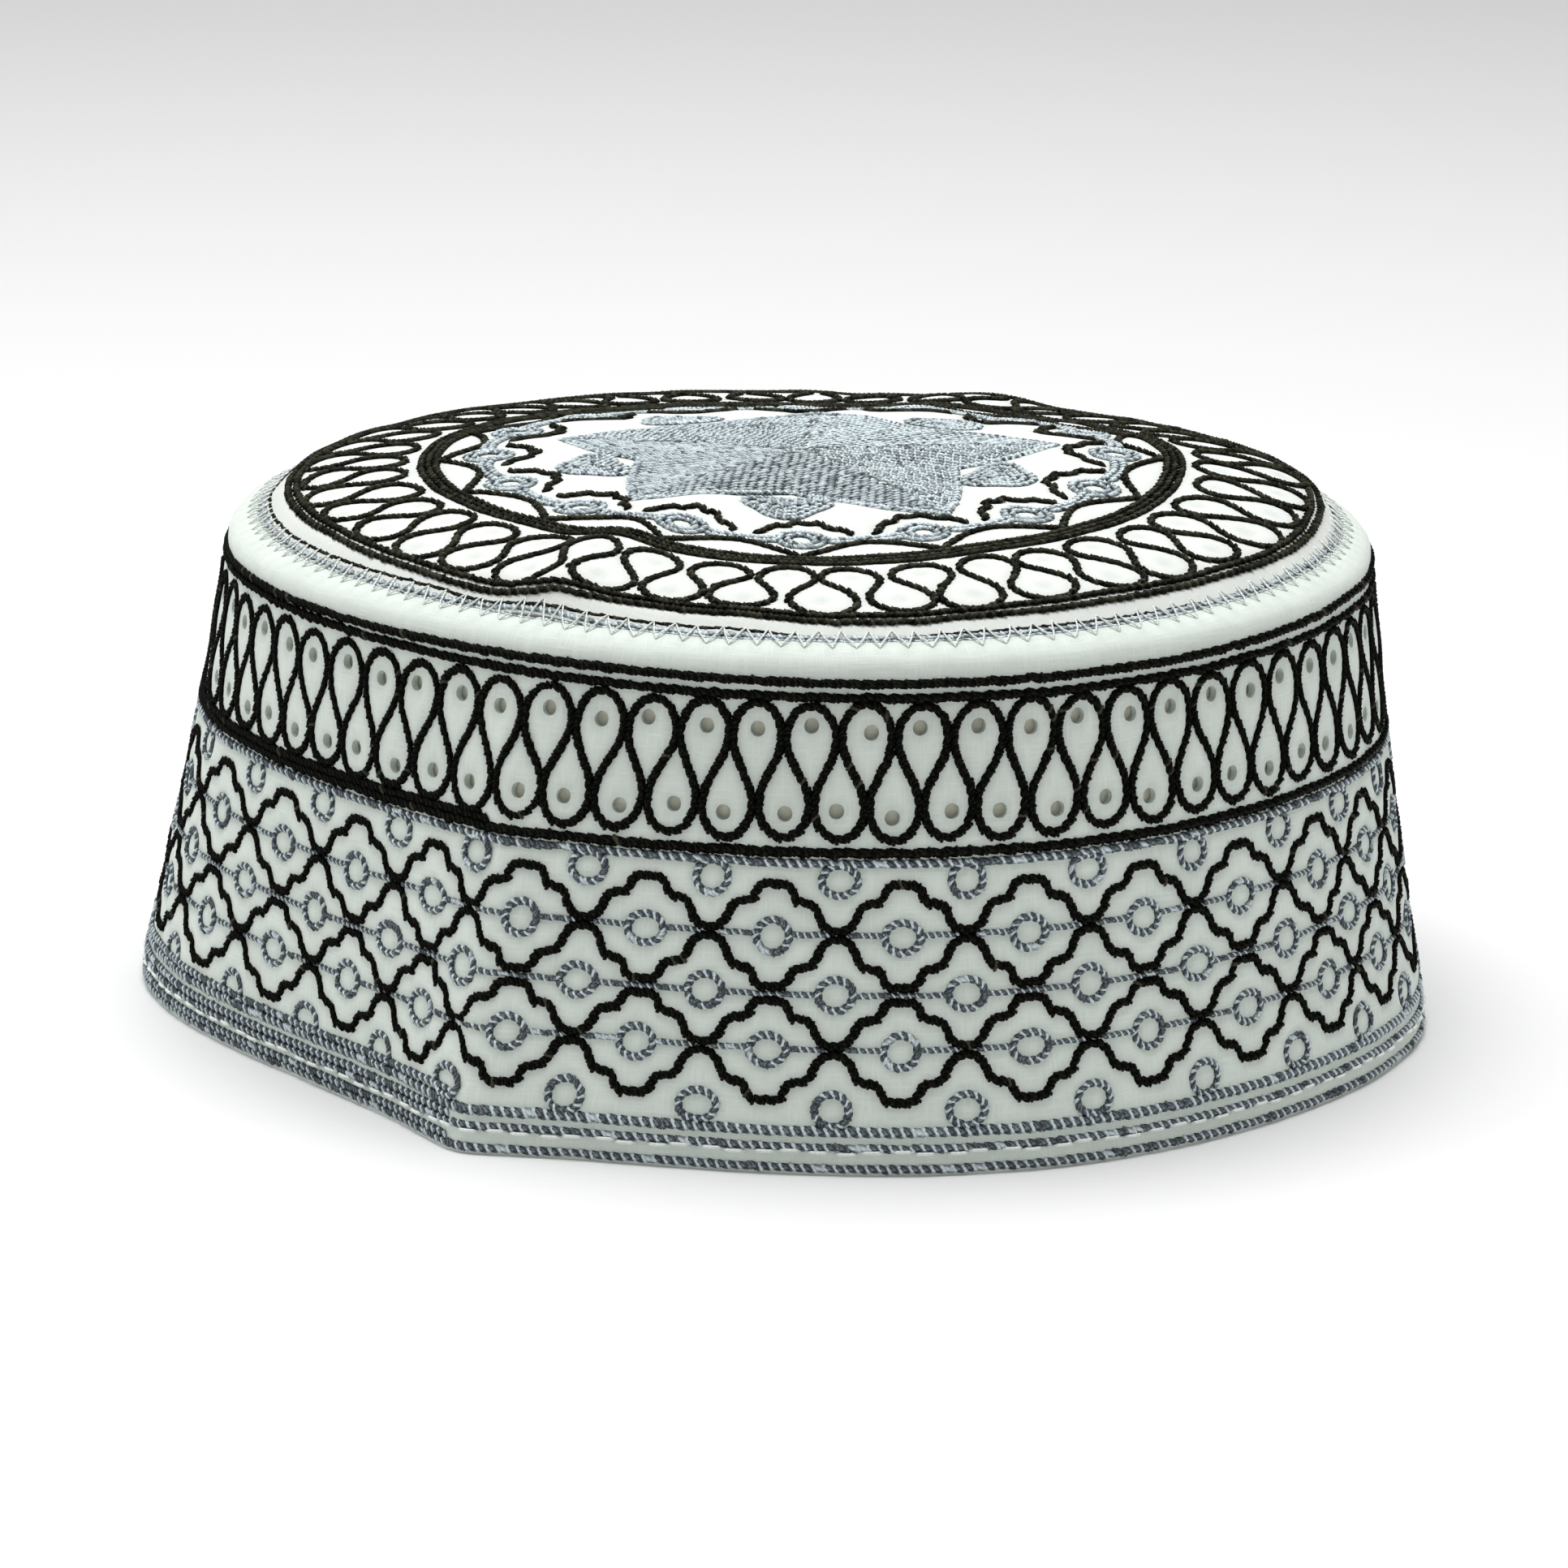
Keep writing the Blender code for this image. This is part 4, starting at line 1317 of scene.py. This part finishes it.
def tube(path, radius, closed):
    """Points, squares and cap triangles of a round thread: its profile is square to the path."""
    ahead = np.roll(path, -1, axis=0) - np.roll(path, 1, axis=0)
    girth = np.full(len(path), radius)
    if not closed:
        ahead[0], ahead[-1] = path[1] - path[0], path[-1] - path[-2]
        girth[[0, -1]] *= TUBE_END_GIRTH
    ahead /= np.linalg.norm(ahead, axis=1, keepdims=True)
    outward = path * [1.0, 1.0, 0.6]
    outward = outward - ahead * (outward * ahead).sum(axis=1, keepdims=True)
    outward /= np.linalg.norm(outward, axis=1, keepdims=True)
    side = np.cross(outward, ahead)
    turn = (np.arange(TUBE_SIDES) / TUBE_SIDES * FULL_TURN)[None, :, None]
    points = path[:, None] + girth[:, None, None] * (
        outward[:, None] * np.cos(turn) + side[:, None] * np.sin(turn))
    number = np.arange(len(path) * TUBE_SIDES).reshape(-1, TUBE_SIDES)
    quads = np.swapaxes(wrap_faces(number.T), 0, 1)
    caps = np.empty((0, 3), int)
    if not closed:
        quads = quads[:-1]
        fan = np.array([(0, corner, corner + 1) for corner in range(1, TUBE_SIDES - 1)])
        caps = np.concatenate([number[0][fan], number[-1][::-1][fan]])
    return points.reshape(-1, 3), quads.reshape(-1, 4), caps


def add_tubes(name, paths, radius, material, closed=False):
    """Several tubes as one piece, with the turn round and the steps along as its map."""
    points, quads, triangles, places = [], [], [], []
    start = 0
    for path in paths:
        tube_points, sides, caps = tube(path, radius, closed)
        points.append(tube_points)
        quads.append(sides + start)
        triangles.append(caps + start)
        around, along = np.meshgrid(np.arange(TUBE_SIDES) / TUBE_SIDES, 0.4 * np.arange(len(path)))
        places.append(np.stack([around.ravel(), along.ravel()], axis=1))
        start += len(tube_points)
    return make_piece(
        name, np.concatenate(points), [np.concatenate(quads), np.concatenate(triangles)], material,
        flat=np.concatenate(places), tone=np.full(start, 0.6))


# %% The zigzag and the running stitch
ZIGZAG_RADIUS = 0.00014
ZIGZAG_ARCH = 0.00050
POINTS_PER_LEG = 7
RUNNING_RADIUS = 0.00030
RUNNING_HEIGHT = 0.0034
RUNNING_COUNT = 150
RUNNING_FILL = 0.82
RUNNING_ARCH = 0.00055


def zigzag_path():
    """Teeth across the seam: the crown's end of a tooth, a bowed leg, the band's end, and back."""
    legs = ZIGZAG_TEETH * 2
    place = np.arange(legs * POINTS_PER_LEG) / POINTS_PER_LEG
    tooth = np.abs(place % 2.0 - 1.0)
    share = (place / legs) + 0.0005 * np.sin(place * 2.1)
    from_seam = (tooth - 1.0 + TOOTH_ON_CROWN) * TOOTH_TALL
    on_top = on_crown(share, SEAM_HALF_WIDTH - np.maximum(from_seam, 0.0))
    top_points, top_normals = crown.surface(on_top[:, 0], on_top[:, 1])
    side_points, side_normals = band.surface(share * BAND_LENGTH, BAND_TALL + np.minimum(from_seam, 0.0))
    arch = ZIGZAG_ARCH * np.sin(math.pi * tooth) + 0.00002
    normals = top_normals + side_normals
    normals /= np.linalg.norm(normals, axis=1, keepdims=True)
    return np.where((from_seam > 0.0)[:, None], top_points, side_points) + normals * arch[:, None]


def running_stitches():
    """Short bowed stitches in a level row, each of which fills its share of the turn but for a gap."""
    part = np.linspace(0.0, 1.0, 6)
    arch = (RUNNING_ARCH * np.sin(math.pi * part) + 0.00005)[:, None]
    paths = []
    for index in range(RUNNING_COUNT):
        share = (index + RUNNING_FILL * part + 0.12 * math.sin(2.9 * index)) / RUNNING_COUNT
        flat = on_band(share, RUNNING_HEIGHT + 0.0002 * math.sin(1.7 * index))
        points, normals = band.surface(flat[:, 0], flat[:, 1])
        paths.append(points + normals * arch)
    return paths


stitched += [
    add_tubes("seam_zigzag", [zigzag_path()], ZIGZAG_RADIUS, white_thread, closed=True),
    add_tubes("hem_running_stitches", running_stitches(), RUNNING_RADIUS, white_thread),
]

# %% [markdown]
# ## What each piece is
# Every piece rides on the one body. The cloth pieces stand for the frame's solids, which are hidden.

# %% Ride and replace
for piece in [band_cloth, crown_cloth, lining] + stitched:
    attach(piece, "root")
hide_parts("side_band")
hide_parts("crown")
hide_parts("band_lining")
print("pieces", 3 + len(stitched))

# %% [markdown]
# ## Floor, light and camera
# The floor is a pale sheet that curves up behind the cap, so no horizon shows. One large soft light
# hangs above, weaker ones fill from the left and the right, and the world adds an even sky. The camera
# stands low and far off, about 15 degrees above the floor.

# %% Camera
CAMERA_AZIMUTH = 0.5175
CAMERA_ELEVATION = 0.2606
CAMERA_DISTANCE = 1.1387
CAMERA_ROLL = 0.0084
CAMERA_LENS = 173.2
EYE_TARGET = Vector((0.0, 0.0, 0.0457))
AIM_TARGET = Vector((0.0006, 0.0004, 0.0324))


def facing(place, target):
    """A frame at a place whose Z points away from the target, as a camera or a light needs."""
    away = Vector(place) - Vector(target)
    return Matrix.Translation(place) @ away.to_track_quat("Z", "Y").to_matrix().to_4x4()


def add_camera():
    """The eye is a long way off along the photograph's direction, and it aims just under the waist."""
    back = Vector((
        math.sin(CAMERA_AZIMUTH) * math.cos(CAMERA_ELEVATION),
        -math.cos(CAMERA_AZIMUTH) * math.cos(CAMERA_ELEVATION),
        math.sin(CAMERA_ELEVATION),
    ))
    data = bpy.data.cameras.new("camera")
    data.lens = CAMERA_LENS
    data.sensor_width = 36.0
    data.clip_start = 0.01
    camera = bpy.data.objects.new("camera", data)
    eye = EYE_TARGET + back * CAMERA_DISTANCE
    camera.matrix_world = facing(eye, AIM_TARGET) @ Matrix.Rotation(CAMERA_ROLL, 4, "Z")
    bpy.context.scene.collection.objects.link(camera)
    bpy.context.scene.camera = camera


# %% Floor and lights
FLOOR_FRONT = -2.5
SWEEP_START = 1.6
SWEEP_RADIUS = 0.8
SWEEP_TOP = 3.0
FLOOR_HALF_WIDTH = 4.0
SKY_STRENGTH = 0.27
# Name, place, target, size and watts of each light
LIGHTS = (
    ("top_light", (-0.10, 0.05, 1.10), (0.0, 0.0, 0.05), 0.8, 12.6),
    ("left_light", (-1.02, -0.62, 0.52), (0.0, 0.0, 0.04), 0.7, 2.5),
    ("right_light", (1.05, 0.20, 0.55), (0.0, 0.0, 0.04), 0.7, 1.2),
)


def add_floor():
    """A flat sheet with a quarter-round sweep behind it, as one profile carried sideways."""
    bend = np.linspace(0.0, math.pi / 2.0, 16)
    distance = np.concatenate([
        [FLOOR_FRONT], SWEEP_START + SWEEP_RADIUS * np.sin(bend), [SWEEP_START + SWEEP_RADIUS]])
    height = np.concatenate([[0.0], SWEEP_RADIUS * (1.0 - np.cos(bend)), [SWEEP_TOP]])
    behind = np.array([-math.sin(CAMERA_AZIMUTH), math.cos(CAMERA_AZIMUTH), 0.0])
    sideways = np.array([math.cos(CAMERA_AZIMUTH), math.sin(CAMERA_AZIMUTH), 0.0])
    across = np.array([-FLOOR_HALF_WIDTH, FLOOR_HALF_WIDTH])
    line = behind * distance[:, None] + np.array([0.0, 0.0, 1.0]) * height[:, None]
    points = line[:, None] + sideways * across[None, :, None]
    number = np.arange(len(line) * 2).reshape(-1, 2)
    quads = np.stack([number[:-1, 0], number[:-1, 1], number[1:, 1], number[1:, 0]], axis=-1)
    material, _, _ = new_material(
        "pale_floor", Base_Color=(0.90, 0.90, 0.90, 1.0), Roughness=0.9, Specular_IOR_Level=0.1)
    make_piece("floor", points.reshape(-1, 3), [quads], material)


def add_light(name, place, target, size, watts):
    """A square soft light that faces the cap."""
    data = bpy.data.lights.new(name, "AREA")
    data.size = size
    data.energy = watts
    light = bpy.data.objects.new(name, data)
    light.matrix_world = facing(place, target)
    bpy.context.scene.collection.objects.link(light)


add_floor()
add_camera()
world = bpy.data.worlds.new("studio")
world.use_nodes = True
world.node_tree.nodes["Background"].inputs["Color"].default_value = (1.0, 1.0, 1.0, 1.0)
world.node_tree.nodes["Background"].inputs["Strength"].default_value = SKY_STRENGTH
bpy.context.scene.world = world
for light in LIGHTS:
    add_light(*light)
bpy.context.scene.view_settings.view_transform = "Standard"
